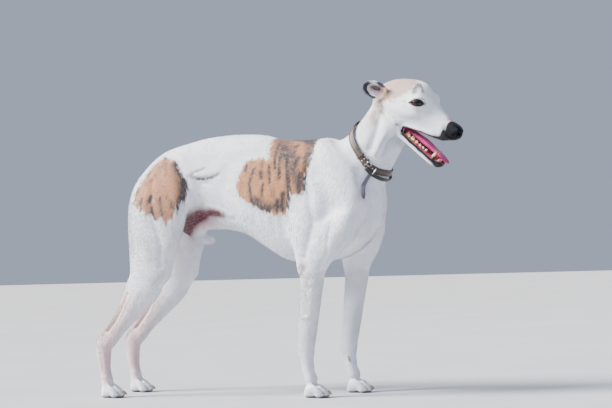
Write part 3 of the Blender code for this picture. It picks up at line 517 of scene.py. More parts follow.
def inside_outline(flat, outline):
    """Distance in from a closed outline in millimetres, negative outside it."""
    outline = np.array(outline) * MM
    inside = np.zeros(len(flat), bool)
    for a, b in zip(outline, np.roll(outline, -1, axis=0)):
        crosses = (a[1] > flat[:, 1]) != (b[1] > flat[:, 1])
        rise = b[1] - a[1]
        level = a[0] + (flat[:, 1] - a[1]) * (b[0] - a[0]) / (rise if abs(rise) > 1e-9 else 1e-9)
        inside ^= crosses & (flat[:, 0] < level)
    best = path_distance(flat, np.vstack([outline, outline[:1]]))
    return np.where(inside, best, -best)


def mirrored(points):
    """Every point brought to the dog's right side."""
    return np.column_stack([points[:, 0], -np.abs(points[:, 1]), points[:, 2]])


def fore_mirrored(points):
    """As mirrored, with the left foreleg brought back level with the right one."""
    back = FORE_SHIFT * soft_step(-points[:, 2], -0.62, -0.36) * (points[:, 1] > 0.0)
    near = mirrored(points)
    near[:, 0] -= back * (points[:, 0] > -0.10)
    return near


# Muscle and bone that show through the skin: path on the right side, half width and height.
TRUNK_FORMS = [
    ([(105, -78, 640), (55, -90, 520), (60, -85, 440)], 8, 1),
    ([(75, -78, 650), (25, -92, 530), (30, -85, 440)], 8, 1.1),
    ([(45, -78, 650), (-5, -92, 540), (0, -85, 450)], 8, 1.2),
    ([(15, -78, 660), (-35, -90, 550), (-28, -82, 460)], 8, 1.2),
    ([(-15, -76, 660), (-64, -86, 560), (-55, -78, 480)], 8, 1.1),
    ([(-45, -74, 660), (-92, -80, 580), (-85, -72, 500)], 9, 1.1),
    ([(-118, -70, 645), (-145, -66, 575), (-125, -60, 500)], 24, -3.5),
    ([(-20, -50, 708), (-140, -52, 705), (-250, -55, 690)], 11, -1.2),
    ([(-250, -64, 620), (-226, -62, 613), (-203, -62, 611), (-178, -65, 614), (-158, -66, 621)], 6, -4),
    ([(-238, -62, 628), (-222, -62, 634), (-202, -62, 640)], 4.5, -3),
    ([(-212, -62, 598), (-190, -63, 597)], 5, -1.4),
    ([(-236, -60, 580), (-224, -60, 560)], 4.5, -2),
    ([(-240, -66, 655), (-215, -66, 648)], 6, -1.8),
    ([(-262, -66, 476), (-238, -50, 519), (-205, -52, 535), (-165, -54, 524), (-130, -54, 503)], 7, 3.5),
    ([(-250, -46, 476), (-236, -44, 496), (-210, -46, 510), (-180, -48, 508)], 15, -15),
    ([(286, -26, 575), (276, -42, 500), (235, -50, 420)], 19, 4),
    ([(317, 0, 550), (300, 0, 480), (255, 0, 410)], 10, -4.5),
    ([(318, -50, 748), (306, -51, 711), (290, -53, 673)], 9, -3.5),
]
SHOULDER_FORMS = [
    ([(150, -50, 695), (185, -68, 640), (220, -86, 560)], 13, 2.5),
    ([(258, -70, 612), (271, -80, 560), (267, -92, 502),
      (252, -94, 458), (229, -98, 422), (203, -96, 392)], 11, -3.8),
    ([(243, -90, 540), (238, -96, 500), (205, -106, 440), (178, -108, 400)], 18, 3.5),
    ([(112, -82, 620), (122, -89, 566), (136, -100, 477), (128, -110, 430), (112, -110, 385)], 10, -3.4),
    ([(145, -90, 580), (163, -106, 480), (148, -112, 415)], 19, 3.5),
    ([(192, -100, 510), (184, -112, 446), (178, -110, 396), (152, -104, 350)], 6.5, -2.2),
]
FORE_FORMS = [
    ([(120, -106, 322), (110, -101, 268), (105, -99, 232)], 9, -1.1),
    ([(136, -98, 320), (122, -98, 250), (108, -96, 190)], 10, 0.8),
    ([(142, -82, 300), (124, -70, 230), (112, -66, 160)], 3, 1.2),
    ([(77, -85, 300), (78, -82, 220), (79, -80, 150)], 6, 1.5),
    ([(86, -98, 345), (100, -104, 360)], 6, -3),
    ([(115, -88, 125), (114, -64, 125)], 9, 1.2),
]
HIND_FORMS = [
    ([(-287, -62, 655), (-262, -70, 622), (-246, -76, 589), (-245, -78, 554), (-250, -80, 510)], 9, -3.5),
    ([(-296, -82, 630), (-272, -92, 575), (-276, -100, 500), (-295, -106, 430)], 18, 3.5),
    ([(-350, -94, 610), (-346, -112, 543), (-332, -119, 487), (-318, -120, 425), (-322, -118, 370)], 9, -3),
    ([(-398, -92, 570), (-408, -106, 500), (-404, -112, 430), (-406, -106, 360)], 9, -2.6),
    ([(-372, -108, 560), (-372, -119, 480), (-366, -120, 400)], 18, 2.2),
    ([(-322, -104, 352), (-336, -108, 330), (-352, -108, 318)], 4, -1.6),
    ([(-314, -100, 336), (-332, -106, 314)], 4, -1.4),
    ([(-436, -102, 292), (-466, -99, 235), (-506, -96, 190)], 6, -4.5),
    ([(-436, -70, 292), (-466, -73, 235), (-506, -76, 190)], 6, -4.5),
    ([(-395, -112, 300), (-430, -104, 245), (-468, -98, 200)], 9, 1.8),
    ([(-503, -108, 162), (-510, -106, 150)], 8, 1.8),
    ([(-528, -104, 125), (-522, -103, 80)], 4.5, -1.2),
]

SHEATH_END = (-214, 0, 441)


def body_lift(points):
    """How far muscle and bone raise or sink the skin of body and legs."""
    near, fore = mirrored(points), fore_mirrored(points)
    lift = np.zeros(len(points))
    for place, forms in ((near, TRUNK_FORMS), (fore, SHOULDER_FORMS + FORE_FORMS), (near, HIND_FORMS)):
        for path, width, height in forms:
            corners = np.array(path) * MM
            reach = 2.5 * width * MM
            close = (place > corners.min(axis=0) - reach) & (place < corners.max(axis=0) + reach)
            close = close.all(axis=1)
            lift[close] += height * MM * stroke(place[close], path, width)
    lift += 0.0050 * dab(points, SHEATH_END, (26, 30, 22))
    return lift + spine_knobs(points) + toe_grooves(points)


def toe_grooves(points):
    """The clefts between the toes, and a low bump over each knuckle."""
    lift = np.zeros(len(points))
    for found, root, middle in paws():
        close = (points[:, 2] < 0.06) & (np.abs(points[:, 0] - root - 0.02) < 0.05)
        close &= np.abs(points[:, 1] - middle) < 0.045
        place = points[close]
        for (x, y, _), (x2, y2, _) in zip(found, found[1:]):
            between = (y + y2) / 2
            back = (root + 0.008, middle + (between - middle) * 0.66, 0.044)
            cleft = [back, (min(x, x2) - 0.012, between, 0.036), (min(x, x2) + 0.010, between, 0.006)]
            lift[close] -= 0.0060 * stroke(place, np.array(cleft) / MM, 4.0)
        for x, y, _ in found:
            knuckle = np.array((x - 0.016, y, 0.034)) / MM
            lift[close] += 0.0028 * dab(place, knuckle, (9, 6, 8))
    return lift


def spine_knobs(points):
    """The tips of the backbone, faint over loin and back."""
    x, y, z = points.T
    along = 0.5 + 0.5 * np.cos(2 * pi * x / 0.026)
    on_back = soft_step(z, 0.695, 0.715) * soft_step(-np.abs(y), -0.016, -0.004)
    return 0.0007 * along * on_back * soft_step(-x, -0.03, 0.03) * soft_step(x, -0.31, -0.26)


def merged_copy(names):
    """Closed copies of the named solids in one object, each grown a little so that they meet."""
    body = bmesh.new()
    for name in names:
        part = bmesh.new()
        part.from_mesh(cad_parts[name].data)
        bmesh.ops.remove_doubles(part, verts=part.verts, dist=1e-6)
        part.normal_update()
        for vertex in part.verts:
            vertex.co += vertex.normal * SOLID_GROWTH
        mesh = bpy.data.meshes.new("part")
        part.to_mesh(mesh)
        part.free()
        body.from_mesh(mesh)
        bpy.data.meshes.remove(mesh)
    return object_from_bmesh("copy", body)


def largest_surface(obj):
    """Keeps only the largest closed surface of the object."""
    mesh = obj.data
    count = len(mesh.vertices)
    first, second = read(mesh.edges, "vertices", 2, int).T
    label = np.arange(count)
    while True:
        low = np.minimum(label[first], label[second])
        new = label.copy()
        np.minimum.at(new, first, low)
        np.minimum.at(new, second, low)
        new = new[new]
        if np.array_equal(new, label):
            break
        label = new
    drop_vertices(mesh, label != np.bincount(label, minlength=count).argmax())


def fused(name, source, voxel):
    """One closed skin over the pieces of the source, which is removed."""
    remesh = source.modifiers.new("Fuse", "REMESH")
    remesh.mode = "VOXEL"
    remesh.voxel_size = voxel
    apply_modifiers(source)
    source.name = name
    largest_surface(source)
    return source


def relaxed(mesh, points, softness, rounds):
    """The points moved towards the mean of their neighbours, by their softness, in each round."""
    first, second = read(mesh.edges, "vertices", 2, int).T
    count = np.bincount(np.append(first, second), minlength=len(points))[:, None]
    points = points.copy()
    weight = softness[:, None]
    for _ in range(rounds):
        total = np.zeros_like(points)
        for axis in range(points.shape[1]):
            total[:, axis] = np.bincount(first, points[second, axis], len(points))
            total[:, axis] += np.bincount(second, points[first, axis], len(points))
        points += (total / count - points) * weight
    return points


def thinned(obj, triangles):
    """The same shape in fewer triangles."""
    faces = sum(len(face.vertices) - 2 for face in obj.data.polygons)
    if faces <= triangles:
        return
    decimate = obj.modifiers.new("Thin", "DECIMATE")
    decimate.ratio = triangles / faces
    decimate.use_collapse_triangulate = True
    apply_modifiers(obj)


# Markings and painted shade. Outlines are in side view, (x, z), on the dog's right side.
RIB_PATCH = [
    (-103, 587), (-85, 625), (-68, 655), (-28, 664), (0, 656), (-3, 683), (-4, 740), (138, 740),
    (131, 681), (125, 640), (114, 601), (113, 561), (94, 551), (73, 558), (68, 527), (54, 501),
    (18, 500), (-18, 514), (-54, 532), (-88, 553),
]
HIP_PATCH = [
    (-326, 682), (-288, 663), (-269, 633), (-252, 607), (-244, 584), (-252, 551), (-270, 512),
    (-290, 470), (-319, 490), (-349, 500), (-378, 519), (-412, 546), (-409, 574), (-383, 618),
    (-359, 654),
]
SKULL_PATCH = [
    (6, 14), (6, 50), (20, 78), (50, 100), (90, 104), (106, 88), (102, 66), (90, 46), (68, 26),
    (40, 10),
]
# Painted shade in the hollow of the throat, in the world's frame.
THROAT_SHADE = [(372, -30, 715), (352, -40, 690), (338, -44, 668)]
# Dark streaks in the rib patch and on the hip: path in side view, and half width.
STREAKS = [
    ([(-18, 621), (-18, 607)], 7), ([(2, 640), (6, 618), (8, 592)], 4),
    ([(22, 700), (18, 660), (22, 630)], 3.5), ([(36, 692), (33, 640), (36, 602)], 5),
    ([(50, 682), (56, 645), (59, 614)], 6), ([(95, 612), (93, 580), (96, 553)], 7),
    ([(110, 600), (112, 580), (110, 562)], 5.5), ([(61, 608), (66, 560), (62, 521)], 6.5),
    ([(47, 560), (45, 516)], 7), ([(30, 545), (28, 512)], 4.5), ([(-65, 644), (-67, 628)], 4.5),
    ([(-46, 538), (-22, 524), (0, 511)], 8), ([(78, 712), (104, 703), (132, 690)], 8.5),
    ([(118, 716), (128, 700)], 7), ([(128, 676), (124, 640)], 5.5), ([(112, 668), (106, 640)], 4),
    ([(22, 722), (46, 714), (70, 709)], 6), ([(86, 658), (80, 622)], 5.5),
    ([(74, 690), (71, 660)], 4.5), ([(-40, 632), (-55, 592), (-50, 545)], 4.5),
    ([(-12, 590), (-16, 556)], 3), ([(-336, 686), (-322, 676)], 6.5),
    ([(-360, 652), (-368, 622)], 3.5), ([(-350, 568), (-354, 552)], 5.5),
    ([(-346, 536), (-338, 490)], 4.5), ([(-322, 560), (-312, 516)], 3),
    ([(-290, 556), (-284, 536)], 4), ([(-266, 632), (-250, 596), (-246, 566)], 6),
    ([(-404, 580), (-411, 546)], 5.5), ([(-378, 562), (-384, 524)], 4.5),
    ([(-392, 600), (-396, 580)], 3.5),
]

# Broad, faint darkening of the two patches: path in side view, half width and strength.
SMOKE = [
    ([(-286, 654), (-264, 622), (-257, 576), (-268, 536)], 15, 0.66),
    ([(20, 720), (60, 665), (88, 600)], 30, 0.52),
    ([(100, 725), (120, 660), (106, 580)], 18, 0.52),
    ([(-40, 548), (0, 522), (45, 530)], 15, 0.60),
]

# Longer hair behind thigh and hock, along the belly, in the groin and behind the foreleg.
BODY_FRINGES = [
    ([(-425, -70, 600), (-438, -85, 520), (-425, -90, 420)], 22, 0.3),
    ([(-540, -87, 165), (-470, -87, 260)], 12, 0.4),
    ([(262, 0, 420), (190, 0, 372), (60, 0, 372), (-80, 0, 415), (-190, 0, 462)], 16, 1.0),
    ([(-275, -60, 470), (-235, -50, 520)], 12, 1.0),
]

ELBOW_FRINGE = [([(78, -85, 420), (70, -82, 350), (72, -80, 250)], 14, 0.4)]

# The groin's crescent of bare skin, darkened as painted shadow under the flank fold; painted shade along the
# folds of the flank and the thigh's front edge; and pink of the hind legs.
GROIN = [(-290, 460), (-270, 484), (-248, 502), (-224, 512), (-196, 517), (-158, 507)]

FLANK_SHADE = [
    ([(-246, 619), (-226, 612), (-203, 610), (-180, 613), (-160, 620)], 8.5, 0.60),
    ([(-226, 612), (-203, 610), (-180, 613)], 4.5, 0.70),
    ([(-226, 632), (-204, 639)], 4, 0.55),
]

THIGH_SHADE = [
    ([(-262, -72, 640), (-244, -78, 600), (-240, -80, 566)], 5.5, 0.5),
    ((-196, -30, 436), (8, 40, 10), 0.4),
]

LEG_PINK = [
    ((-330, -40, 400), (60, 30, 120), 0.2),
    ([(-440, -88, 270), (-515, -88, 165), (-522, -88, 70)], 34, 0.75),
    ([(-322, -104, 352), (-345, -108, 322)], 10, 0.35),
]

PATCH_LIMIT = 0.05

# Black skin of chin, lip edges and muzzle front, then grey and tan hair with some painted shade, in the
# head's frame.
CHIN_BLACK = [
    ((234, -4, -104), (18, 18, 13.5), 1.6),
    ([(108, -30, -55.5), (140, -26.5, -65.5)], 4.4, 1.5),
    ([(140, -26.5, -66), (172, -23.5, -76)], 6.2, 1.5),
    ([(172, -23.5, -75.5), (218, -18.5, -91), (240, -9, -98.5)], 8.6, 1.6),
    ([(206, -25, -36), (226, -21, -32), (244, 0, -31)], 8, 1.6),
]

HEAD_GREY = [
    ([(116, -44, 64), (110, -34, 76), (113, -24, 84)], 7, 1.2),
    ([(113, -24, 85), (128, -24, 81), (138, -34, 70)], 5.6, 1.0),
    ((142, -40, 62), (6, 10, 7), 0.6),
    ((125, -34, 72), (16, 14, 12), 0.34),
    ((94, -44, -36), (6, 10, 6), 1.0),
    ([(14, -48, 8), (32, -50, 4)], 3.5, 0.7),
    # Painted shade in the cheek creases and under the eye, on the grooves of HEAD_FORMS.
    ([(82, -50, -19), (109, -46, -17), (133, -42, -8)], 2.6, 0.65),
    ([(90, -48, -26), (120, -42, -22), (145, -37, -14)], 2.6, 0.65),
    ([(104, -52, 34), (84, -56, 28), (58, -53, 18)], 2.6, 0.65),
    ([(130, -48, 22), (142, -44, 19)], 2.6, 0.65),
    ((34, -49, -18), (6, 12, 6), 1.2),
    ([(31, -48, -22), (28, -48, -48)], 4, 0.35),
    ((224, -20, -10), (9, 12, 18), 0.75),
    ([(200, -22, -36), (236, -14, -34)], 5, 0.5),
]

HEAD_TAN = [
    ([(14, -48, 4), (30, -50, -6), (40, -50, -20)], 10, 1.2),
    ((12, -46, -34), (14, 16, 28), 1.0),
    ([(30, -48, -20), (26, -46, -55)], 6, 0.6),
]


def paint_body(points):
    """The markings of body and legs at each point, by name, with painted shade in the groin and along the
    folds of flank and thigh.
    """
    x, y, z = points.T
    far = y > 0.0
    flat = np.column_stack([x, np.where(far & (x > -0.2), 0.72 - (0.72 - z) * 1.45, z)])
    outer = np.abs(y) > 0.035
    rib = inside_outline(flat, RIB_PATCH)
    hip = np.where(outer, inside_outline(flat, HIP_PATCH), -PATCH_LIMIT)
    faded = soft_step(z, 0.46, 0.60)
    rays = 0.5 + 0.5 * np.cos(x / 0.0032 + 3.0 * np.sin(x / 0.021))
    fawn = np.maximum(rib, hip - (1 - faded) * (0.003 + 0.022 * rays))
    fawn = np.where((x > -0.2) & (z < 0.48), -PATCH_LIMIT, fawn)
    nothing = np.zeros(len(points))
    streak = nothing
    for path, width, strength in [(*row, 1.0) for row in STREAKS] + SMOKE:
        streak = np.maximum(streak, strength * stroke(flat, path, width))
    streak = streak * np.where(far, 0.5, 1.0)
    near = mirrored(points)
    side = near[:, [0, 2]]
    # Painted shadow: the dark crescent under the flank fold, where the skin is bare.
    shaded_hollow = np.maximum(stroke(side, GROIN[:4], 17), stroke(side, GROIN, 9.5))
    shaded_hollow *= soft_step(near[:, 1], -0.080, -0.066) * soft_step(z, 0.440, 0.452)
    groin = 0.6 * dab(near, (-225, -35, 490), (50, 35, 34))
    elbow = stroke(fore_mirrored(points), [(88, -99, 336), (104, -106, 357)], 10)
    # Painted shade along the folds of flank and thigh and on the thigh's front edge, and the grey of the
    # elbow's bare skin.
    grey = outer * drawn(side, FLANK_SHADE) + drawn(near, THIGH_SHADE) + 0.75 * elbow
    pink = groin + 0.8 * shaded_hollow + 0.6 * elbow + drawn(near, LEG_PINK)
    return {
        "fawn": np.clip(fawn, -PATCH_LIMIT, PATCH_LIMIT),
        "strength": np.where(x < -0.2, 0.97, 1.0),
        "streak": streak,
        "grey": grey,
        "pink": np.clip(pink, 0.0, 1.0),
        "bare": np.clip(0.9 * elbow + 0.5 * groin + 1.3 * shaded_hollow, 0.0, 1.0),
        "down": soft_step(-z, -0.60, -0.42),
        "lip": 0.75 * soft_step(-z, -0.009, -0.004),
        "gum": nothing,
        "rim": nothing,
        # Painted shadow of the groin's crescent, darkest at its rear.
        "canal": np.clip(1.5 * shaded_hollow, 0.0, 0.96) * (0.78 + 0.22 * soft_step(-x, 0.19, 0.25)),
        "tan": nothing,
    }


def body_lay(points):
    """The way the hair lies on body and legs: back along the trunk, and down the legs."""
    down = soft_step(-points[:, 2], -0.66, -0.40)
    shoulder = soft_step(points[:, 0], 0.05, 0.20)
    return unit_rows(-(1 - down) * (1 - 0.55 * shoulder), 0.0 * down, -(0.28 + down + 0.5 * shoulder))


def gum_line(x):
    """Height and half width of the tooth line of the lower jaw, in the head's frame."""
    t = (x - 0.110) / 0.125
    return -0.053 - 0.037 * t, 0.0235 - 0.0110 * t


def gape_line(x):
    """Height that parts the upper jaw from the lower one."""
    return -0.0465 - (x - 0.108) * 0.2005


def paint_mouth(mesh, points, normals):
    """Black lips round wet pink gums: the mouth's inside is found by the way its skin faces."""
    local = in_head(points)
    facing = mirrored_normals(points, normals)
    x, y, z = local.T
    gape = gape_line(x)
    upper = (z > gape) & (z < -0.020) & (facing[:, 2] < -0.45) & (x > 0.098) & (x < 0.238)
    lower = (z <= gape + 0.004) & (facing[:, 2] > 0.35) & (x > 0.098) & (z > -0.108)
    corner = (x > 0.088) & (x < 0.116) & (facing[:, 0] > 0.50) & (z < -0.030) & (z > -0.068)
    inside = (upper | lower | corner) & (np.abs(y) < gum_line(x)[1] + 0.010)
    soft = relaxed(mesh, inside[:, None].astype(float), np.full(len(points), 0.5), 26)[:, 0]
    gum = soft_step(soft, 0.66, 0.90)
    broad = np.where(z > gape, 0.12, 0.035 + 0.02 * (x < 0.13) - 0.02 * soft_step(x, 0.17, 0.22))
    near = mirrored(local)
    lip = soft_step(soft, broad, broad + 0.12) + drawn(near, CHIN_BLACK)
    lip += (x > 0.185) * (facing[:, 2] < -0.25) * (z > gape) * (z < -0.020)
    side = 1.2 * dab(near, (225, -23, -16), (6, 9, 16))
    side += soft_step(x, 0.218, 0.226) * soft_step(-z, 0.004, 0.012) * (z > -0.060)
    return np.clip(lip * (1 - gum) + side, 0, 1), gum


def paint_head(mesh, points, normals):
    """The markings of head and neck at each point, by name, with painted shade in the throat, over the lids,
    in the cheek creases and in the ears.
    """
    local = in_head(points)
    near = mirrored(local)
    skull = inside_outline(local[:, [0, 2]], SKULL_PATCH)
    skull = np.where(np.abs(local[:, 1]) > 0.006, skull, skull - 0.012)
    # Grey hair, with painted shade in the cheek creases, over the upper lids and in the throat.
    grey = drawn(near, HEAD_GREY) + 0.55 * lid_crease(points)
    grey += 0.22 * stroke(mirrored(points), THROAT_SHADE, 16)
    lip, gum = paint_mouth(mesh, points, normals)
    lip = np.maximum(lip, lid_rim(points))
    rim, canal, ear_pink, brown = paint_ear(points, normals)
    pink = 1.3 * dab(near, (222, 0, 21.5), (9, 10, 8))
    nothing = np.zeros(len(points))
    return {
        "fawn": np.clip(skull, -PATCH_LIMIT, PATCH_LIMIT),
        "strength": nothing + 0.64,
        "streak": nothing,
        "grey": np.clip(grey, 0.0, 1.0),
        "pink": np.clip(np.maximum(pink, ear_pink), 0.0, 1.0),
        "bare": np.clip(lip + gum, 0.0, 1.0),
        "down": nothing,
        "lip": np.clip(lip, 0.0, 1.0),
        "gum": gum,
        "rim": rim,
        "canal": canal,
        "tan": np.clip(brown + drawn(near, HEAD_TAN), 0.0, 1.0),
    }


def head_lay(points):
    """The way the hair lies on head and neck: back from the nose, then down the neck."""
    x, y, _ = in_head(points).T
    forward = np.full(len(points), -1.0)
    return unit_rows(forward, 0.25 * np.sign(y), -0.25 - 1.2 * soft_step(-x, -0.06, 0.02)) @ HEAD_AXES.T


# The rose ear, folded back: how far out of the skull each place of its cup lies.


def ear_cup(angle, reach):
    """Place on the cup's inner face, and its depth, for an angle from the front and a reach 0 to 1."""
    spread = EAR_LENGTH + 0.006 * cos(angle) ** 2 * (cos(angle) < 0)
    x = spread * reach**0.8 * cos(angle)
    z = EAR_HEIGHT * reach**0.8 * sin(angle)
    return x, z, cup_depth(x, reach, sin(angle))


def cup_depth(x, reach, sine):
    """How far from the head's middle plane the cup's inner face lies."""
    return 0.047 + 0.019 * reach**2.2 - 0.005 * reach**6 + 0.004 * sine * reach - 0.34 * x


def ear_folds(x, z, angle, reach):
    """Rolled rim, lower fold, front fold and ear canal, as a height on the inner face."""
    degrees = np.degrees(angle)
    rear = max(bell((degrees - 195) % 360, 0, 75), bell((195 - degrees) % 360, 0, 75))
    low = bell(degrees, 262, 52)
    front = bell((degrees + 180) % 360 - 180, -4, 34)
    height = 0.0020 * rear * bell(reach, 0.90, 0.10) + 0.0050 * low * bell(reach, 0.60, 0.13)
    height += 0.0045 * front * bell(reach, 0.66, 0.15)
    return height - 0.0085 * bell(x, -0.010, 0.0125) * bell(z, 0.0035, 0.0070)


def ear_shell(side):
    """A closed, thick-walled ear whose root runs into the skull, in the world's frame."""
    rows, columns = 26, 96
    body = bmesh.new()
    loops = []
    levels = list(range(1, rows + 1))
    for step, row in enumerate(levels + levels[::-1]):
        inner = step < rows
        reach = row / rows
        loop = []
        for column in range(columns):
            angle = 2 * pi * column / columns
            x, z, depth = ear_cup(angle, reach)
            if inner:
                depth += 0.0020 + ear_folds(x, z, angle, reach)
            else:
                wall = EAR_WALL * (1 - 0.35 * reach**8)
                depth += 0.0020 - wall - 0.030 * max(1 - reach / 0.62, 0.0) ** 0.8
            place = (EAR_IN_HEAD[0] + x, side * depth, EAR_IN_HEAD[1] + z)
            loop.append(body.verts.new(from_head([place])[0]))
        loops.append(loop)
    bridge(body, loops)
    body.faces.new(loops[0])
    body.faces.new(list(reversed(loops[-1])))
    bmesh.ops.recalc_face_normals(body, faces=body.faces)
    return object_from_bmesh("ear", body)


def ear_place(points):
    """Angle and reach on the nearer ear for each point, and how far inside the cup it lies."""
    local = mirrored(in_head(points))
    x, z = local[:, 0] - EAR_IN_HEAD[0], local[:, 2] - EAR_IN_HEAD[1]
    angle = np.degrees(np.arctan2(z / EAR_HEIGHT, x / EAR_LENGTH)) % 360
    spread = EAR_LENGTH + 0.006 * (x < 0) * np.cos(np.radians(angle)) ** 2
    reach = np.hypot(x / spread, z / EAR_HEIGHT) ** 1.25
    depth = -local[:, 1] - cup_depth(x, reach, np.sin(np.radians(angle)))
    return angle, reach, depth, np.column_stack([x, z])


def paint_ear(points, normals):
    """Black rim, dark pink canal, brown front fold and bare inner skin of each ear."""
    angle, reach, depth, flat = ear_place(points)
    on_ear = (depth > -0.010) & (reach < 1.25) & (depth < 0.02)
    outward = -mirrored_normals(points, normals)[:, 1]
    inner = on_ear * soft_step(outward, 0.05, 0.45) * soft_step(depth, -0.006, -0.001)
    away = np.minimum((angle - 205) % 360, (205 - angle) % 360)
    rim = on_ear * soft_step(reach, 0.60, 0.78) * soft_step(-away, -88, -55)
    # Painted shadow at the top front of the cup, where the rim rises over the fold's opening.
    rim += on_ear * dab(flat, (10, 18.5), (13, 6.5)) * 1.5
    # The canal's dark pink is pink skin with painted shade in its pit.
    deep = (depth > -0.018) & (depth < 0.02) & (reach < 0.85)
    canal = deep * dab(flat, (-10, 3.2), (14, 6.8)) * 1.6
    pink = inner * dab(flat, (-9, 0), (20, 12)) * 0.6
    brown = on_ear * dab(flat, (24, -4), (9, 16))
    return [np.clip(values, 0, 1) for values in (rim, canal, pink, brown)]


def mirrored_normals(points, normals):
    """Directions in the head's frame, as on the dog's right side."""
    local = in_head(points)
    turned = normals @ HEAD_AXES
    turned[:, 1] *= np.where(local[:, 1] > 0, -1.0, 1.0)
    return turned


# Eyelids, worked out on rays from the middle of each eyeball.
LID_HALF_LENGTH = 72.0
LID_UPPER = 33.0
LID_LOWER = 20.0
LID_CENTRE = -3.0
LID_TILT = -10.0


def eye_angles(points, side):
    """Distance from an eyeball's middle, and angles along and across its opening, in degrees."""
    mirror = np.array((1, side, 1))
    away = in_head(points) - EYE_IN_HEAD * mirror
    aim = Vector(EYE_AIM * mirror).normalized().to_track_quat("X", "Z").to_matrix()
    local = away @ np.array(aim @ Matrix.Rotation(radians(LID_TILT * side), 3, "X"))
    distance = np.linalg.norm(away, axis=1)
    along = np.degrees(np.arctan2(-side * local[:, 1], local[:, 0]))
    across = np.degrees(np.arcsin(np.clip(local[:, 2] / np.maximum(distance, 1e-6), -1, 1)))
    return distance, along, across - LID_CENTRE


def lid_edge(along, across):
    """Degrees from the edge of the lids, negative inside the opening."""
    part = np.clip(1 - (along / LID_HALF_LENGTH) ** 2, 0.0, 1.0)
    half = np.where(across > 0, LID_UPPER, LID_LOWER) * part**0.75
    beyond = np.maximum(np.abs(along) - LID_HALF_LENGTH, 0.0)
    return np.hypot(np.maximum(np.abs(across) - half, 0.0), beyond) - np.maximum(half - np.abs(across), 0.0)


def lid_rim(points):
    """The black rim of the lids and the bare corner in front of each eye."""
    rim = np.zeros(len(points))
    for _, side in EYES:
        distance, along, across = eye_angles(points, side)
        part = np.clip(1 - (along / np.where(along < 0, 97.0, 87.0)) ** 2, 0.0, 1.0)
        half = np.where(across > 0, LID_UPPER + 10.0, LID_LOWER + 8.0) * part
        close = distance < 0.030 - 0.0085 * soft_step(along, 50.0, 70.0)
        rim = np.maximum(rim, close * soft_step(half - np.abs(across), -2.5, 2.0) * (part > 0))
    return rim


def lid_crease(points):
    """The shaded fold over each upper lid."""
    shade = np.zeros(len(points))
    for _, side in EYES:
        distance, along, across = eye_angles(points, side)
        fold = bell(lid_edge(along, across), 19, 3.5) * (across > 0) * (np.abs(along) < 80)
        shade = np.maximum(shade, fold * (distance < 0.026))
    return shade


# Forms of head and neck in the head's own frame, on its right side.
HEAD_FORMS = [
    ([(119, -54, 34.5), (104, -53, 31.5)], 10.5, 4),
    ([(88, -48, 52), (66, -47, 45)], 15, -2.2),
    ([(160, -36, 16), (130, -48, 8), (90, -57, 4), (50, -54, -2)], 8, 1.4),
    ([(58, -50, -22), (75, -47, -34)], 18, 2.2),
    ([(82, -50, -19), (109, -46, -17), (133, -42, -8), (154, -38, 3)], 2.4, -2.2),
    ([(90, -48, -26), (120, -42, -22), (150, -37, -12)], 2.4, -1.8),
    ([(48, -50, -12), (69, -50, -31), (90, -43, -42)], 4, -2.4),
    ([(108, -52, 34), (84, -56, 28), (45, -52, 14)], 2.4, -1.8),
    ([(160, -34, 20), (190, -28, 4), (215, -23, -8)], 10, -1.6),
    ([(150, -14, 66), (185, -10, 40), (215, -9, 25)], 5, 0.8),
    ([(60, 0, 90), (100, 0, 95), (135, 0, 84)], 7, -1.6),
    ([(150, -32, -22), (190, -26, -22), (225, -20, -20)], 7, 1.2),
]
NECK_FORMS = [
    ([(329, -54, 771), (318, -50, 748), (306, -51, 711), (290, -53, 673)], 13, -6.8),
    ([(349, -46, 750), (333, -47, 705), (316, -48, 665)], 12, 5),
    ([(358, -34, 708), (342, -44, 697), (328, -45, 682), (316, -46, 655)], 9.5, -7.8),
    ([(384, -10, 702), (366, -22, 668)], 11, -3.4),
    ([(372, 0, 700), (352, 0, 650)], 10, 2),
]

# The nose leather in the head's frame: x, top, bottom, half width and height of the widest line.
NOSE_KEYS = [
    (217, 17.0, -23.0, 15.5, -4), (224, 19.2, -26.2, 18.6, -4), (232, 20.5, -28.0, 20.0, -4),
    (246, 19.3, -28.0, 19.5, -3), (258, 15.0, -23.0, 16.5, -2), (266, 8.0, -16.0, 11.0, -3),
    (270, -0.5, -7.5, 3.0, -4),
]

NOSE_FORMS = [
    ([(264, -4, 5), (260, -12.5, 3.5), (253, -17.8, -3)], 3.4, 1.2),
    ([(268, 0, 6), (250, 0, 18)], 4, -0.5),
]

# The tongue's middle line, half thickness and half width.
TONGUE_KEYS = [
    (100, 0, -46.0, 6.5, 16.5), (125, 1, -49.0, 8.0, 16.0), (150, 2, -54.5, 8.8, 15.0),
    (175, 3, -61.0, 8.5, 14.0), (200, 6, -70.5, 7.0, 12.8), (220, 8, -77.5, 5.8, 13.0),
    (234, 10, -84.0, 5.0, 12.8), (243, 12, -90.0, 4.0, 10.0), (247, 12, -93.5, 1.6, 4.0),
]

# The cheek teeth: place along the jaw, height and radius. Then their cusps: shift and size.
CHEEK_TEETH = [
    (0.121, 0.0115, 0.0060), (0.1375, 0.0100, 0.0056), (0.152, 0.0066, 0.0040),
    (0.1640, 0.0046, 0.0032), (0.175, 0.0038, 0.0027), (0.186, 0.0034, 0.0023),
]

CUSPS = ((0.0, 1.0), (-0.95, 0.62), (0.95, 0.66))

# The dewclaw's path from its root in the skin.
DEWCLAW = ((0.0, 0.002, 0.004), (0.003, -0.002, -0.002), (0.006, -0.002, -0.008), (0.008, 0.0, -0.012))


def head_lift(points):
    """How far bone, muscle and creases raise or sink the skin of head and neck."""
    return MM * (drawn(mirrored(in_head(points)), HEAD_FORMS) + drawn(mirrored(points), NECK_FORMS))


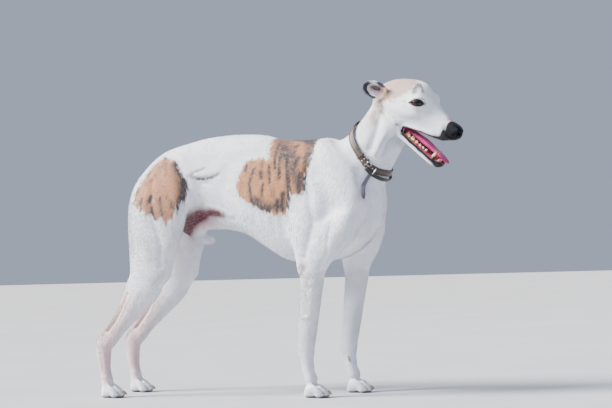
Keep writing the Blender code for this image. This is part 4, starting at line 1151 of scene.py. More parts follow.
def shape_lids(points, radius):
    """Opens each almond of the lids over its eyeball, with a rounded rim that stands proud."""
    for name, side in EYES:
        centre = np.array(eye_centre(name))
        distance, along, across = eye_angles(points, side)
        edge = lid_edge(along, across)
        front = (np.abs(along) < 88) & (np.abs(across) < 70) & (distance < radius + 0.012)
        proud = np.where(edge < 0, -0.0035 * soft_step(-edge, 0.0, 5.0), 0.0016 * bell(edge, 7, 8))
        rear = soft_step(-along, 45.0, 72.0)
        fading = np.where(edge < 0, 0.0, soft_step(edge, 8.0 - 6.0 * rear, 26.0 - 15.0 * rear))
        crease = 0.0017 * bell(edge, 19, 3.2) * (across > 0) + 0.0007 * bell(edge, 16, 3.0) * (across < 0)
        direction = (points - centre) / np.maximum(distance, 1e-6)[:, None]
        target = distance + (radius + 0.0004 + proud - distance) * (1 - fading) - crease
        points = np.where(front[:, None], centre + direction * target[:, None], points)
    return points


def shape_mouth(points):
    """Flattens the jaw's top to the gums and hollows its floor."""
    local = in_head(points)
    x, y, z = local.T
    height, half = gum_line(x)
    jaw = (x > 0.100) & (z < gape_line(x) + 0.004) & (z > height - 0.012)
    trough = 0.006 * np.clip(1 - (y / np.maximum(half - 0.003, 0.004)) ** 2, 0.0, 1.0)
    ceiling = height + 0.0012 - trough
    local[:, 2] = np.where(jaw & (z > ceiling), ceiling, z)
    return from_head(local)


def refine(obj, where):
    """Splits the faces whose corners all lie where the test holds."""
    chosen = where(points_of(obj.data))
    body = bmesh.new()
    body.from_mesh(obj.data)
    body.edges.ensure_lookup_table()
    edges = [e for e in body.edges if chosen[e.verts[0].index] and chosen[e.verts[1].index]]
    bmesh.ops.subdivide_edges(body, edges=edges, cuts=1, use_grid_fill=True)
    bmesh.ops.triangulate(body, faces=[face for face in body.faces if len(face.verts) > 4])
    body.to_mesh(obj.data)
    body.free()


# Materials. Colour codes are sRGB.


def connect(tree, made, links):
    """Gives each named input of a node a value, or another node's output."""
    for key, value in links.items():
        if isinstance(value, bpy.types.NodeSocket):
            tree.links.new(value, made.inputs[key])
        else:
            made.inputs[key].default_value = value


def new_material(name):
    """A material with an empty tree but for its shader and output."""
    made = bpy.data.materials.new(name)
    made.use_nodes = True
    return made, made.node_tree


def add(tree, kind, links, output=0, **settings):
    """Adds a node with its settings and links, and returns one of its outputs."""
    made = tree.nodes.new(kind)
    for name, value in settings.items():
        setattr(made, name, value)
    connect(tree, made, links)
    return made.outputs[output]


def product(tree, *factors):
    """Multiplies its factors: outputs, numbers, names of markings, or such a source with its range.

    A range is written as the source, its low and high end, and what these give, else 0 and 1.
    """
    result = None
    for factor in factors:
        if isinstance(factor, str):
            factor = add(tree, "ShaderNodeAttribute", {}, "Fac", attribute_name=factor)
        if isinstance(factor, tuple):
            source, low, high, first, second = (*factor, 0.0, 1.0)[:5]
            factor = add(tree, "ShaderNodeMapRange", {
                "Value": product(tree, source), "From Min": low, "From Max": high,
                "To Min": first, "To Max": second,
            }, interpolation_type="SMOOTHSTEP")
        if result is None:
            result = factor
        else:
            result = add(tree, "ShaderNodeMath", {0: result, 1: factor}, operation="MULTIPLY")
    return result


def layered(tree, colour, *layers):
    """Lays colours over the first one, each of them through the product of its factors."""
    for over, *factors in layers:
        links = {0: product(tree, *factors), 6: colour, 7: over}
        colour = add(tree, "ShaderNodeMix", links, 2, data_type="RGBA")
    return colour


def grains(tree, size, stretch=(1.0, 1.0, 1.0), detail=3.0, rough=0.55):
    """Noise with grains of a real size in metres, longer along the axes with a small stretch."""
    place = add(tree, "ShaderNodeTexCoord", {}, "Object")
    scaled = add(tree, "ShaderNodeMapping", {"Vector": place, "Scale": stretch})
    return add(tree, "ShaderNodeTexNoise", {
        "Vector": scaled, "Scale": 1.0 / size, "Detail": detail, "Roughness": rough,
    })


def pebbles(tree, size, edge, feature="DISTANCE_TO_EDGE"):
    """Raised cells of a real size in metres, flat on top from that part of their width."""
    place = add(tree, "ShaderNodeTexCoord", {}, "Object")
    links = {"Vector": place, "Scale": 1 / size}
    cells = add(tree, "ShaderNodeTexVoronoi", links, "Distance", feature=feature)
    return product(tree, (cells, *edge))


def shaded(made, links, height=None, strength=0.0, depth=0.0):
    """Gives a material's shader its values and links, and a relief of that strength and depth."""
    tree = made.node_tree
    if height is not None:
        relief = {"Height": height, "Strength": strength, "Distance": depth}
        links["Normal"] = add(tree, "ShaderNodeBump", relief)
    connect(tree, tree.nodes["Principled BSDF"], links)
    return made


def coat_colour(tree, coat, head):
    """The colour of skin and coat from their painted markings and painted shade, the same on both."""
    grain = grains(tree, 0.0035, (0.35, 1.0, 1.0), 4.0)
    cloud = grains(tree, 0.05)
    strand = grains(tree, 0.0045, (1.0, 1.0, 0.30))
    stripe = grains(tree, 0.016, (1.0, 0.5, 0.33), 4.0, 0.62)
    ragged = {0: strand, 1: 0.030, 2: product(tree, "fawn")}
    edge = add(tree, "ShaderNodeMath", ragged, operation="MULTIPLY_ADD")
    striped = product(tree, (stripe, 0.54, 0.66), ("strength", 0.5, 1.0, 0.0, 0.45))
    streak = product(tree, "streak", (strand, 0.28, 0.52, 0.4, 1.0))
    streaks = {0: striped, 1: product(tree, (streak, 0.04, 0.66))}
    dark = add(tree, "ShaderNodeMath", streaks, operation="MAXIMUM")
    patch = layered(tree, coat.fawn, (linear("BB845C"), (grain, 0.35, 0.70)), (coat.brindle, dark))
    return layered(
        tree, coat.white,
        (linear("D9DCE6"), (cloud, 0.35, 0.70)),
        (linear("C4C4CC"), (strand, 0.55, 0.80, 0.0, 0.35)),
        (patch, (edge, 0.012, 0.021), "strength"),
        (coat.skin, "pink", (grain, 0.20, 0.60, 0.6, 1.0)),
        # Grey hairs, and painted shade along folds, creases, throat and lids.
        (coat.grey, "grey", (strand, 0.30, 0.60, 0.50, 1.0)),
        (coat.tan, "tan", (strand, 0.25, 0.60, 0.5, 1.0)),
        # Ear rims, with painted shadow at each ear's top front.
        (coat.rim, ("rim", 0.15, 0.75)),
        # Dark pink: painted shade in the ear canals and painted shadow in the groin.
        (coat.shaded_hollow, "canal", (grain, 0.25, 0.62, 0.72, 1.0)),
        (head.gum, "gum"),
        (head.lip, "lip"),
    )


def fur_material(name, coat, head):
    """Short, flat, fine hair over skin: matt with a soft sheen, glossy only on bare lips and gums."""
    made, tree = new_material(name)
    bare = {0: product(tree, "lip"), 1: product(tree, "gum")}
    wet = add(tree, "ShaderNodeMath", bare, operation="MAXIMUM")
    along = grains(tree, 0.0016, (0.14, 1.0, 0.55))
    downward = grains(tree, 0.0016, (1.0, 1.0, 0.14))
    hair = add(tree, "ShaderNodeMix", {0: product(tree, "down"), 2: along, 3: downward})
    height = add(tree, "ShaderNodeMix", {0: wet, 2: hair, 3: grains(tree, 0.0014, detail=2.0)})
    return shaded(made, {
        "Base Color": coat_colour(tree, coat, head),
        "Roughness": product(tree, (wet, 0.0, 1.0, 0.62, 0.26)),
        "Specular IOR Level": 0.30,
        "Sheen Weight": 0.15,
        "Sheen Roughness": 0.45,
        "Subsurface Weight": 0.06,
        "Subsurface Radius": (0.004, 0.002, 0.0015),
        "Subsurface Scale": 0.5,
    }, height, 0.35, 0.0006)


def tuft_material(name, coat, head):
    """Tips of the same short hair, silky, with the colour that the skin has at their root."""
    made, tree = new_material(name)
    colour = layered(tree, coat_colour(tree, coat, head), (linear("8E93A3"), "shade", 0.05))
    return shaded(made, {"Base Color": colour, "Roughness": 0.55, "Sheen Weight": 0.2})


# The operators. Each one builds a piece, or a group of like pieces.


class GREYHOUND_OT_body_skin(bpy.types.Operator):
    """Skin of trunk, legs and tail, with the muscle and bone that show through it"""
    bl_idname = "greyhound.body_skin"
    bl_label = "Body Skin"

    def execute(self, context):
        coat, head = context.scene.greyhound_coat, context.scene.greyhound_head
        skin = fused("body_skin", merged_copy(BODY_NODES + ["neck"]), BODY_VOXEL)
        points = points_of(skin.data)
        points = relaxed(skin.data, points, body_softness(points), 90)
        set_points(skin.data, points)
        sunk = coat.depth * (1 - soft_step(-points[:, 2], -0.03, -0.005))
        hidden = np.clip(above_collar(points) * (points[:, 0] > NECK_START), 0.0, 0.012) * 0.5
        points += normals_of(skin.data) * (body_lift(points) - sunk - hidden)[:, None]
        points[:, 2] = np.maximum(points[:, 2], 0.0)
        set_points(skin.data, points)
        points = points_of(skin.data)
        drop_vertices(skin.data, (above_collar(points) > 0.030) & (points[:, 0] > NECK_START))
        thinned(skin, BODY_TRIANGLES)
        for name, values in paint_body(points_of(skin.data)).items():
            store(skin.data, name, values)
        finish_piece(skin, fur_material("short_fur_on_body", coat, head), "coat", *BODY_NODES)
        return {"FINISHED"}


def body_softness(points):
    """Full on the trunk, less on thin legs and tail, and least on the paws."""
    height = points[:, 2]
    soft = 0.05 + 0.10 * soft_step(height, 0.05, 0.12) + 0.32 * soft_step(height, 0.28, 0.42)
    on_tail = (np.abs(points[:, 1]) < 0.026) & (points[:, 0] < -0.43)
    soft -= 0.36 * dab(points, SHEATH_END, (34, 34, 26))
    return np.where(on_tail, 0.10, soft)


class GREYHOUND_OT_head_skin(bpy.types.Operator):
    """Skin of head, lips, gums and upper neck, with lids, brows and creases"""
    bl_idname = "greyhound.head_skin"
    bl_label = "Head Skin"

    def execute(self, context):
        coat, head = context.scene.greyhound_coat, context.scene.greyhound_head
        fillers = [merged_copy(["head", "neck", "lower_jaw", "nose", "tongue"])]
        for name, side in EYES:
            place = Matrix.Translation(eye_centre(name))
            fillers.append(sphere("ball", 24, 16, head.eye_radius + 0.0012, place))
            web = sphere("web", 24, 16)
            points = points_of(web.data) * (0.0170, 0.0080, 0.0115) + (0.0975, side * 0.0285, -0.0465)
            set_points(web.data, from_head(points))
            fillers.append(web)
        fillers += [ear_shell(-1), ear_shell(1)]
        skin = fused("head_skin", join("copy", fillers), HEAD_VOXEL)
        points = shape_mouth(points_of(skin.data))
        softness = np.where(in_mouth(points) | on_ears(points), 0.14, 0.42)
        points = shape_mouth(relaxed(skin.data, points, softness, 34))
        set_points(skin.data, points)
        refine(skin, near_eyes)
        points = points_of(skin.data)
        sunk = np.where(on_ears(points), 0.0, coat.depth * 0.8) + nose_sink(points)
        points += normals_of(skin.data) * (head_lift(points) - sunk)[:, None]
        set_points(skin.data, shape_lids(points, head.eye_radius))
        points = points_of(skin.data)
        drop_vertices(skin.data, (above_collar(points) < -0.004) & (points[:, 0] > NECK_START))
        thinned(skin, HEAD_TRIANGLES)
        points = points_of(skin.data)
        for name, values in paint_head(skin.data, points, normals_of(skin.data)).items():
            store(skin.data, name, values)
        finish = fur_material("short_fur_on_head", coat, head)
        finish_piece(skin, finish, "coat", "head", "neck", "lower_jaw", "ear_right", "ear_left")
        return {"FINISHED"}


def on_ears(points):
    _, reach, depth, _ = ear_place(points)
    return (depth > -0.008) & (reach < 1.3) & (depth < 0.02)


def in_mouth(points):
    local = in_head(points)
    return (local[:, 0] > 0.095) & (local[:, 2] < -0.022)


def near_eyes(points):
    close = np.zeros(len(points), bool)
    for _, side in EYES:
        distance, along, _ = eye_angles(points, side)
        close |= (distance < 0.030) & (np.abs(along) < 95)
    return close


def nose_sink(points):
    """How far the skin goes in under the nose leather."""
    local = in_head(points)
    return 0.0022 * soft_step(local[:, 0], 0.229, 0.234) * (local[:, 2] > -0.060)


# The coat: thin tufts of hair that lie along the skin, laid by Geometry Nodes.


def body_coat(points, skin):
    """How thickly the tufts stand, how long they are and how far they lift, on body and legs."""
    near, fore = mirrored(points), fore_mirrored(points)
    height = points[:, 2]
    length = 0.0045 + 0.0040 * soft_step(height, 0.05, 0.20) + 0.0045 * soft_step(height, 0.36, 0.50)
    tail = (np.abs(points[:, 1]) < 0.026) & (points[:, 0] < -0.43) & (height < 0.55)
    fringe = np.clip(drawn(near, BODY_FRINGES) + drawn(fore, ELBOW_FRINGE) + 0.8 * tail, 0.0, 1.0)
    keep = (1 - skin["bare"]) * (height > 0.012) * (np.abs(above_collar(points)) > 0.012)
    return (0.55 + 0.9 * fringe) * keep, length + 0.0055 * fringe, 0.022 + 0.10 * fringe


def head_coat(points, skin):
    """The same on head, ears and upper neck, shortest on the muzzle."""
    local = in_head(points)
    x = local[:, 0]
    length = 0.0030 + 0.0030 * soft_step(-x, -0.16, -0.05) + 0.0040 * soft_step(-x, -0.03, 0.05)
    fringe = stroke(mirrored(local), [(100, -4, -78), (60, -6, -82), (10, -10, -95)], 16)
    ear = on_ears(points)
    edge = ear * soft_step(ear_place(points)[1], 0.70, 0.95)
    fringe = np.clip(fringe + 0.7 * edge, 0.0, 1.0)
    length = np.where(ear, 0.0050, length)
    keep = np.clip(1 - skin["bare"] - skin["lip"] - skin["canal"] - 0.6 * (ear * skin["pink"]), 0.0, 1.0)
    keep *= (np.abs(above_collar(points)) > 0.012) * (nose_sink(points) < 0.0004)
    density = (1.0 + 0.8 * fringe + 0.8 * (x > 0.05)) * keep
    return density, length + 0.0030 * fringe, 0.030 + 0.18 * fringe


def tuft_tree(template):
    """Scatters the template over a skin, along its lay: the tree, its value and the instances."""
    tree, source, identifier = geometry_tree("coat_of_tufts", "Density")
    found = {}
    for name in ("density", "lay", "lift", "length", "broad"):
        kind = "FLOAT_VECTOR" if name == "lay" else "FLOAT"
        found[name] = add(tree, "GeometryNodeInputNamedAttribute", {"Name": name}, data_type=kind)
    lifting, leaning, turning, long, wide = (
        add(tree, "FunctionNodeRandomValue", {2: low, 3: high, "Seed": seed}, 1, data_type="FLOAT")
        for low, high, seed in TUFT_CHANCES
    )
    points = add(tree, "GeometryNodeDistributePointsOnFaces", {
        "Mesh": source[0], "Density": product(tree, found["density"], source["Density"]),
        "Seed": SCATTER_SEED,
    }, "Points", distribute_method="RANDOM")
    normal = points.node.outputs["Normal"]
    stand = add(tree, "FunctionNodeAlignRotationToVector", {"Vector": normal}, axis="Z")
    lie = add(tree, "FunctionNodeAlignRotationToVector", {
        "Rotation": stand, "Vector": found["lay"],
    }, axis="X", pivot_axis="Z")
    lifted = product(tree, found["lift"], lifting)
    tilt = add(tree, "ShaderNodeCombineXYZ", {0: leaning, 1: lifted, 2: turning})
    tilted = add(tree, "FunctionNodeEulerToRotation", {0: tilt})
    turned = add(tree, "FunctionNodeRotateRotation", {
        "Rotation": lie, "Rotate By": tilted,
    }, rotation_space="LOCAL")
    width = product(tree, found["broad"], wide)
    size = {0: product(tree, found["length"], long), 1: width, 2: product(tree, width, 0.06)}
    placed = add(tree, "GeometryNodeInstanceOnPoints", {
        "Points": points,
        "Instance": add(tree, "GeometryNodeObjectInfo", {"Object": template}, "Geometry"),
        "Rotation": turned,
        "Scale": add(tree, "ShaderNodeCombineXYZ", size),
    })
    return tree, identifier, placed


def tuft_template():
    """One tuft: a closed sliver of four faces, a unit long and a unit wide, with its root sunk."""
    body = bmesh.new()
    places = ((0.0, -0.5, -0.9), (0.0, 0.5, -0.9), (0.10, 0.0, 1.0), (1.0, 0.0, 0.35))
    a, b, top, tip = [body.verts.new(place) for place in places]
    for face in ((a, b, tip), (a, top, b), (a, tip, top), (b, top, tip)):
        body.faces.new(face)
    bmesh.ops.recalc_face_normals(body, faces=body.faces)
    return object_from_bmesh("tuft_template", body)


def geometry_tree(name, value_name):
    """A Geometry Nodes tree, its inputs and the identifier of the one value that is set on it."""
    tree = bpy.data.node_groups.new(name, "GeometryNodeTree")
    tree.interface.new_socket("Geometry", in_out="INPUT", socket_type="NodeSocketGeometry")
    tree.interface.new_socket("Geometry", in_out="OUTPUT", socket_type="NodeSocketGeometry")
    value = tree.interface.new_socket(value_name, in_out="INPUT", socket_type="NodeSocketFloat")
    return tree, tree.nodes.new("NodeGroupInput").outputs, value.identifier


def apply_tree(obj, tree, identifier, value, placed, finish):
    """Ends a tree in realized instances with their finish, and applies it to the object."""
    real = add(tree, "GeometryNodeRealizeInstances", {0: placed})
    painted = add(tree, "GeometryNodeSetMaterial", {"Geometry": real, "Material": finish})
    connect(tree, tree.nodes.new("NodeGroupOutput"), {0: painted})
    modifier = obj.modifiers.new(tree.name, "NODES")
    modifier.node_group = tree
    modifier[identifier] = value
    apply_modifiers(obj)


def coat_piece(name, skin, region, fields, coat, finish, unwrap):
    """Tufts over the part of a skin where the region holds, as one mesh with its own unwrap."""
    source = new_mesh_object(name, skin.data.copy())
    density, length, lift = fields
    density = density * region
    for key, values in (
        ("density", density),
        ("length", length * coat.tuft_length / 0.015),
        ("lift", lift),
        ("broad", coat.tuft_width * np.clip(length / 0.010, 0.45, 1.0)),
    ):
        store(source.data, key, values)
    template = tuft_template()
    tree, identifier, placed = tuft_tree(template)
    value = coat.tufts / skin_area(source.data, density)
    apply_tree(source, tree, identifier, value, placed, finish)
    remove(template)
    tufts = points_of(source.data).reshape(-1, 4, 3)
    chance = np.random.default_rng(SHADE_SEED)
    store(source.data, "shade", np.repeat(chance.random(len(tufts)), 4))
    roots = unwrap(tufts[:, :3].mean(axis=1))
    places = (roots[:, None, :] + np.array(TUFT_CELL)).reshape(-1, 2)
    corners = read(source.data.loops, "vertex_index", kind=int)
    layer = source.data.uv_layers.new(name="OFBake")
    layer.data.foreach_set("uv", np.clip(places[corners], 0.0, 1.0).astype(np.float32).ravel())
    finish_piece(source, finish, "coat")


def skin_area(mesh, weights):
    """The area of a mesh, with each face counted by its weight."""
    starts = read(mesh.polygons, "loop_start", kind=int)
    corners = read(mesh.loops, "vertex_index", kind=int)
    share = np.add.reduceat(weights[corners], starts) / np.diff(np.append(starts, len(corners)))
    return float((read(mesh.polygons, "area") * share).sum())


def round_part(points, start, end, side_cell=WHOLE_CELL):
    """A cylinder's unwrap about a line from start to end, along the unit square and in its cell."""
    start, end = Vector(start), Vector(end)
    axis = (end - start).normalized()
    turn = np.array(axis.to_track_quat("Z", "Y").to_matrix())
    local = (points - np.array(start)) @ turn
    part = np.clip(local[:, 2] / (end - start).length, 0.0, 1.0)
    angle = np.arctan2(local[:, 1], local[:, 0]) / (2 * pi) + 0.5
    return np.column_stack([
        low + value * (high - low) for value, (low, high) in ((part, WHOLE_CELL), (angle, side_cell))
    ])


def unwrap_trunk(points):
    return round_part(points, (-0.60, 0.0, 0.56), (0.40, 0.0, 0.56))


def unwrap_legs(points):
    """Each leg's own cylinder, the right one in the lower half of the square."""
    x = points[:, 0].mean()
    right = round_part(points, (x, -0.086, 0.0), (x, -0.086, 0.66), LOWER_CELL)
    left = round_part(points, (x, 0.086, 0.0), (x, 0.086, 0.66), UPPER_CELL)
    return np.where(points[:, 1:2] < 0.0, right, left)


def unwrap_head(points):
    """The head's cylinder along its own length in the upper half, and the neck's in the lower."""
    local = in_head(points)
    head = round_part(local, (-0.05, 0.0, 0.0), (0.26, 0.0, 0.0), UPPER_CELL)
    neck = round_part(local, (0.02, 0.0, -0.30), (0.02, 0.0, 0.06), LOWER_CELL)
    return np.where(local[:, 0:1] > 0.0, head, neck)


class GREYHOUND_OT_coat(bpy.types.Operator):
    """Tufts of the short coat, lying flat but for the fringes that break the form"""
    bl_idname = "greyhound.coat"
    bl_label = "Coat"

    def execute(self, context):
        coat, head = context.scene.greyhound_coat, context.scene.greyhound_head
        finish = tuft_material("short_hair_tips", coat, head)
        skin = bpy.data.objects["body_skin"]
        points = points_of(skin.data)
        x, y, z = points.T
        store(skin.data, "lay", body_lay(points))
        fields = body_coat(points, read_all(skin.data))
        fore_leg = (z < 0.345) & (x > -0.05)
        outer_thigh = (np.abs(y) > 0.075) & (x < -0.24) & (z < 0.56)
        hind_leg = (x < -0.10) & ((z < 0.46) | outer_thigh)
        coat_piece("coat_trunk", skin, ~fore_leg & ~hind_leg, fields, coat, finish, unwrap_trunk)
        coat_piece("coat_forelegs", skin, fore_leg, fields, coat, finish, unwrap_legs)
        coat_piece("coat_hindlegs", skin, hind_leg, fields, coat, finish, unwrap_legs)
        skin = bpy.data.objects["head_skin"]
        points = points_of(skin.data)
        store(skin.data, "lay", head_lay(points))
        fields = head_coat(points, read_all(skin.data))
        coat_piece("coat_head", skin, 1.0, fields, coat, finish, unwrap_head)
        return {"FINISHED"}


def read_all(mesh):
    """The single-value attributes of a mesh, by name."""
    return {
        painted.name: read(painted.data, "value", kind=np.float32).astype(float)
        for painted in mesh.attributes if painted.data_type == "FLOAT" and painted.domain == "POINT"
    }


class GREYHOUND_OT_eyes(bpy.types.Operator):
    """Both eyeballs, with a bulging cornea over a dark iris"""
    bl_idname = "greyhound.eyes"
    bl_label = "Eyes"

    def execute(self, context):
        head = context.scene.greyhound_head
        finish = eye_material("wet_eye", head)
        for name, side in EYES:
            aim = head_turn() @ Vector((EYE_AIM[0], side * EYE_AIM[1], EYE_AIM[2])).normalized()
            turn = Matrix.Translation(eye_centre(name)) @ aim.to_track_quat("Z", "Y").to_matrix().to_4x4()
            made = sphere(name + "_ball", 64, 48)
            directions = points_of(made.data)
            angles = np.arctan2(np.hypot(directions[:, 0], directions[:, 1]), directions[:, 2])
            bulge = 0.0007 * np.exp(-(angles / 0.55) ** 4)
            set_points(made.data, directions * (head.eye_radius + bulge)[:, None])
            made.data.transform(turn)
            store(made.data, "off_axis", angles)
            finish_piece(made, finish, "eye", name)
        return {"FINISHED"}


def eye_material(name, head):
    """Wet eye: a clear mirror-like cornea over a brown iris, a black pupil and a dark rim."""
    made, tree = new_material(name)
    iris = layered(tree, head.iris, (linear("3C2316"), (grains(tree, 0.0009, detail=4.0), 0.35, 0.65)))
    colour = layered(
        tree, linear("050405"), (iris, ("off_axis", 0.34, 0.40)),
        (linear("150D0B"), ("off_axis", 0.60, 0.72)), (linear("1C1516"), ("off_axis", 0.86, 1.05)),
    )
    return shaded(made, {
        "Base Color": colour, "Roughness": 0.14, "Specular IOR Level": 0.30,
        "Coat Weight": 0.12, "Coat Roughness": 0.03,
    })


class GREYHOUND_OT_nose(bpy.types.Operator):
    """Nose leather with comma-shaped nostrils and a groove down its front"""
    bl_idname = "greyhound.nose"
    bl_label = "Nose"

    def execute(self, context):
        head = context.scene.greyhound_head
        leather = profile_loft("nose_leather", NOSE_KEYS)
        points = points_of(leather.data)
        near = mirrored(points)
        hole = dab(near, (265.5, -8.8, -3), (6, 3.4, 3.6))
        slit = stroke(near, [(262, -12, -6), (254, -17, -11.5)], 2.1)
        groove = stroke(near, [(271, 0, 2), (268, 0, -11), (258, 0, -22)], 1.3)
        lift = drawn(near, NOSE_FORMS) - 1.2 * groove - 2.2 * slit
        points += normals_of(leather.data) * MM * lift[:, None]
        deep = np.clip(1.25 * hole, 0, 1) ** 1.5
        points[:, 1] -= 0.0012 * np.sign(points[:, 1]) * deep
        points[:, 0] -= 0.0078 * deep
        # The nostrils, their slits and the front groove are painted near black: painted shade in these
        # recesses.
        store(leather.data, "hole", np.clip(hole * 1.6 + 0.6 * slit + 0.4 * groove, 0, 1))
        set_points(leather.data, from_head(points))
        finish_piece(leather, nose_material("wet_nose_leather", head), "nose_skin", "nose")
        return {"FINISHED"}


def nose_material(name, head):
    """Wet black leather: a fine pebble of raised cells, each of which takes its own highlight."""
    made, tree = new_material(name)
    pebble = pebbles(tree, 0.0013, (0.0, 0.22))
    return shaded(made, {
        # Near black in the nostrils, slits and groove: painted shade.
        "Base Color": layered(tree, linear("0B0B0F"), (head.nose, pebble), (linear("030304"), "hole")),
        "Roughness": product(tree, (grains(tree, 0.006), 0.3, 0.7, 0.30, 0.50)),
        "Specular IOR Level": 0.10, "Coat Weight": 0.05, "Coat Roughness": 0.14,
    }, pebble, 0.6, 0.0005)


class GREYHOUND_OT_mouth(bpy.types.Operator):
    """Tongue, and the teeth of the lower jaw"""
    bl_idname = "greyhound.mouth"
    bl_label = "Mouth"

    def execute(self, context):
        head = context.scene.greyhound_head
        flesh = wet_material("wet_tongue", head.tongue, linear("8C2058"), 0.0011)
        finish_piece(tongue_shape(), flesh, "mouth", "tongue")
        finish_piece(join("lower_teeth", lower_teeth()), tooth_material("tooth_enamel", head), "mouth")
        return {"FINISHED"}


def tongue_shape():
    """Lies in the jaw, grooved along its middle, and hangs out a little at the front."""
    rows = smooth_curve(np.array(TONGUE_KEYS) * MM, 72)
    rings = []
    for row, direction in zip(rows, np.gradient(rows[:, :3], axis=0)):
        forward = Vector(direction).normalized()
        side = (Vector((0, 1, 0)) - forward * forward.y).normalized()
        up = side.cross(forward) * -1
        ring = []
        for i in range(48):
            across, rise = squircle(2 * pi * i / 48, 2.3)
            groove = 0.35 * bell(across, 0, 0.16) * (rise > 0)
            height = row[3] * (rise * (1 - groove) + 0.25 * abs(across) ** 3)
            ring.append(from_head([Vector(row[:3]) + side * (across * row[4]) + up * height])[0])
        rings.append(ring)
    return closed_rings("tongue_flesh", rings)


def curved_tooth(base, tip, bend, radius, flat=1.0):
    """One cusp from its base to its tip, bowed forwards by the bend halfway, in the head's frame."""
    parts = np.linspace(0.0, 1.0, 9)
    path = [Vector(base).lerp(Vector(tip), t) + Vector((bend, 0.0, 0.0)) * sin(pi * t) for t in parts]
    return rod("cusp", from_head(path), radius * (1 - parts**1.6) ** 0.8 + 0.0002, 10, flat)


def lower_teeth():
    """Cheek teeth of three cusps, a bowed canine and three small incisors on each side."""
    teeth = []
    for side in (-1, 1):
        for x, height, radius in CHEEK_TEETH:
            z, half = gum_line(x)
            y = side * (half - 0.0032)
            for shift, part in CUSPS:
                foot = (x + shift * radius, y, z - 0.003)
                crown = (x + shift * radius * 0.9, y * 0.97, z + height * part)
                teeth.append(curved_tooth(foot, crown, 0.0, radius * (0.62 + 0.2 * part), 0.8))
        z, half = gum_line(0.211)
        foot = (0.211, side * (half - 0.0020), z - 0.002)
        crown = (0.2165, side * (half - 0.0005), z + 0.0165)
        teeth.append(curved_tooth(foot, crown, 0.0030, 0.0042))
        for i in range(3):
            x, y = 0.2300 - 0.0012 * i, side * (0.0017 + 0.0034 * i)
            teeth.append(curved_tooth((x, y, -0.0925), (x + 0.0030, y, -0.0847), 0.0006, 0.0018))
    return teeth


def wet_material(name, first, second, size):
    """Wet living flesh: soft pink with tiny raised buds and a film of saliva on top."""
    made, tree = new_material(name)
    buds = pebbles(tree, size, (0.15, 0.55, 1.0, 0.0), "F1")
    cloud = grains(tree, 0.012)
    return shaded(made, {
        "Base Color": layered(tree, first, (second, (cloud, 0.35, 0.65)), (linear("F2A6BE"), buds, 0.10)),
        "Roughness": product(tree, (cloud, 0.3, 0.7, 0.20, 0.36)),
        "Subsurface Weight": 0.25, "Subsurface Radius": (0.004, 0.0015, 0.0015), "Subsurface Scale": 0.6,
        "Coat Weight": 0.3, "Coat Roughness": 0.12,
    }, buds, 0.35, 0.0003)


def tooth_material(name, head):
    """Enamel with patches of yellow stain: smooth, bright and a little see-through."""
    made, tree = new_material(name)
    return shaded(made, {
        "Base Color": layered(tree, head.tooth, (linear("B08A4C"), (grains(tree, 0.004), 0.40, 0.65))),
        "Roughness": 0.22, "Subsurface Weight": 0.15, "Subsurface Radius": (0.002, 0.0018, 0.0015),
    })


class GREYHOUND_OT_claws(bpy.types.Operator):
    """Sixteen claws and the dewclaws of both forelegs"""
    bl_idname = "greyhound.claws"
    bl_label = "Claws"

    def execute(self, context):
        head = context.scene.greyhound_head
        claws = [claw(*toe) for toes, _, _ in paws() for toe in toes]
        skin = BVHTree.FromObject(bpy.data.objects["body_skin"], context.evaluated_depsgraph_get())
        for side_name, side in SIDES:
            low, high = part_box("forepaw_" + side_name)
            start = Vector((high.x - 0.060, (low.y + high.y) / 2 - side * 0.05, 0.098))
            foot = skin.ray_cast(start, Vector((-0.25, side, 0.0)).normalized())[0]
            path = [foot + Vector((x, side * y, z)) for x, y, z in DEWCLAW]
            claws.append(rod("dewclaw", smooth_curve(path, 9), np.linspace(0.0034, 0.0008, 9), 10, 0.8))
        finish_piece(join("claws", claws), claw_material("claw_horn", head), "nose_skin")
        return {"FINISHED"}


def paws():
    """For each paw: its toes' ends as (x, y, how far to one side), the toes' root and its middle."""
    found = []
    for end, length, width in PAWS:
        for side_name, _ in SIDES:
            low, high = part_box(end + "paw_" + side_name)
            root, middle = high.x - length * 0.62 - 0.0168, (low.y + high.y) / 2
            toes = []
            for across in (-1.0, -0.36, 0.36, 1.0):
                reach = length * (0.62 if abs(across) < 0.5 else 0.46)
                toes.append((root + reach, middle + across * width * 0.36, across))
            found.append((toes, root, middle))
    return found


def claw(x, y, across):
    """A curved claw, deeper than it is broad, that comes out of the toe's end."""
    path = smooth_curve([
        (x - 0.002, y, 0.0170), (x + 0.004, y + across * 0.0002, 0.0168),
        (x + 0.011, y + across * 0.0004, 0.0130), (x + 0.0160, y + across * 0.0008, 0.0068),
    ], 12)
    radii = 0.0034 * (1 - np.linspace(0.0, 1.0, 12) ** 2.2) ** 0.7 + 0.0004
    return rod("claw", path, radii, 12, 0.72)


def claw_material(name, head):
    """Horn of a claw: dark and streaked along its length, with a dull shine."""
    made, tree = new_material(name)
    streaks = grains(tree, 0.0012, (0.2, 1.0, 0.5))
    colour = layered(tree, head.claw, (linear("B39F8C"), (streaks, 0.35, 0.65)))
    return shaded(made, {"Base Color": colour, "Roughness": 0.38})


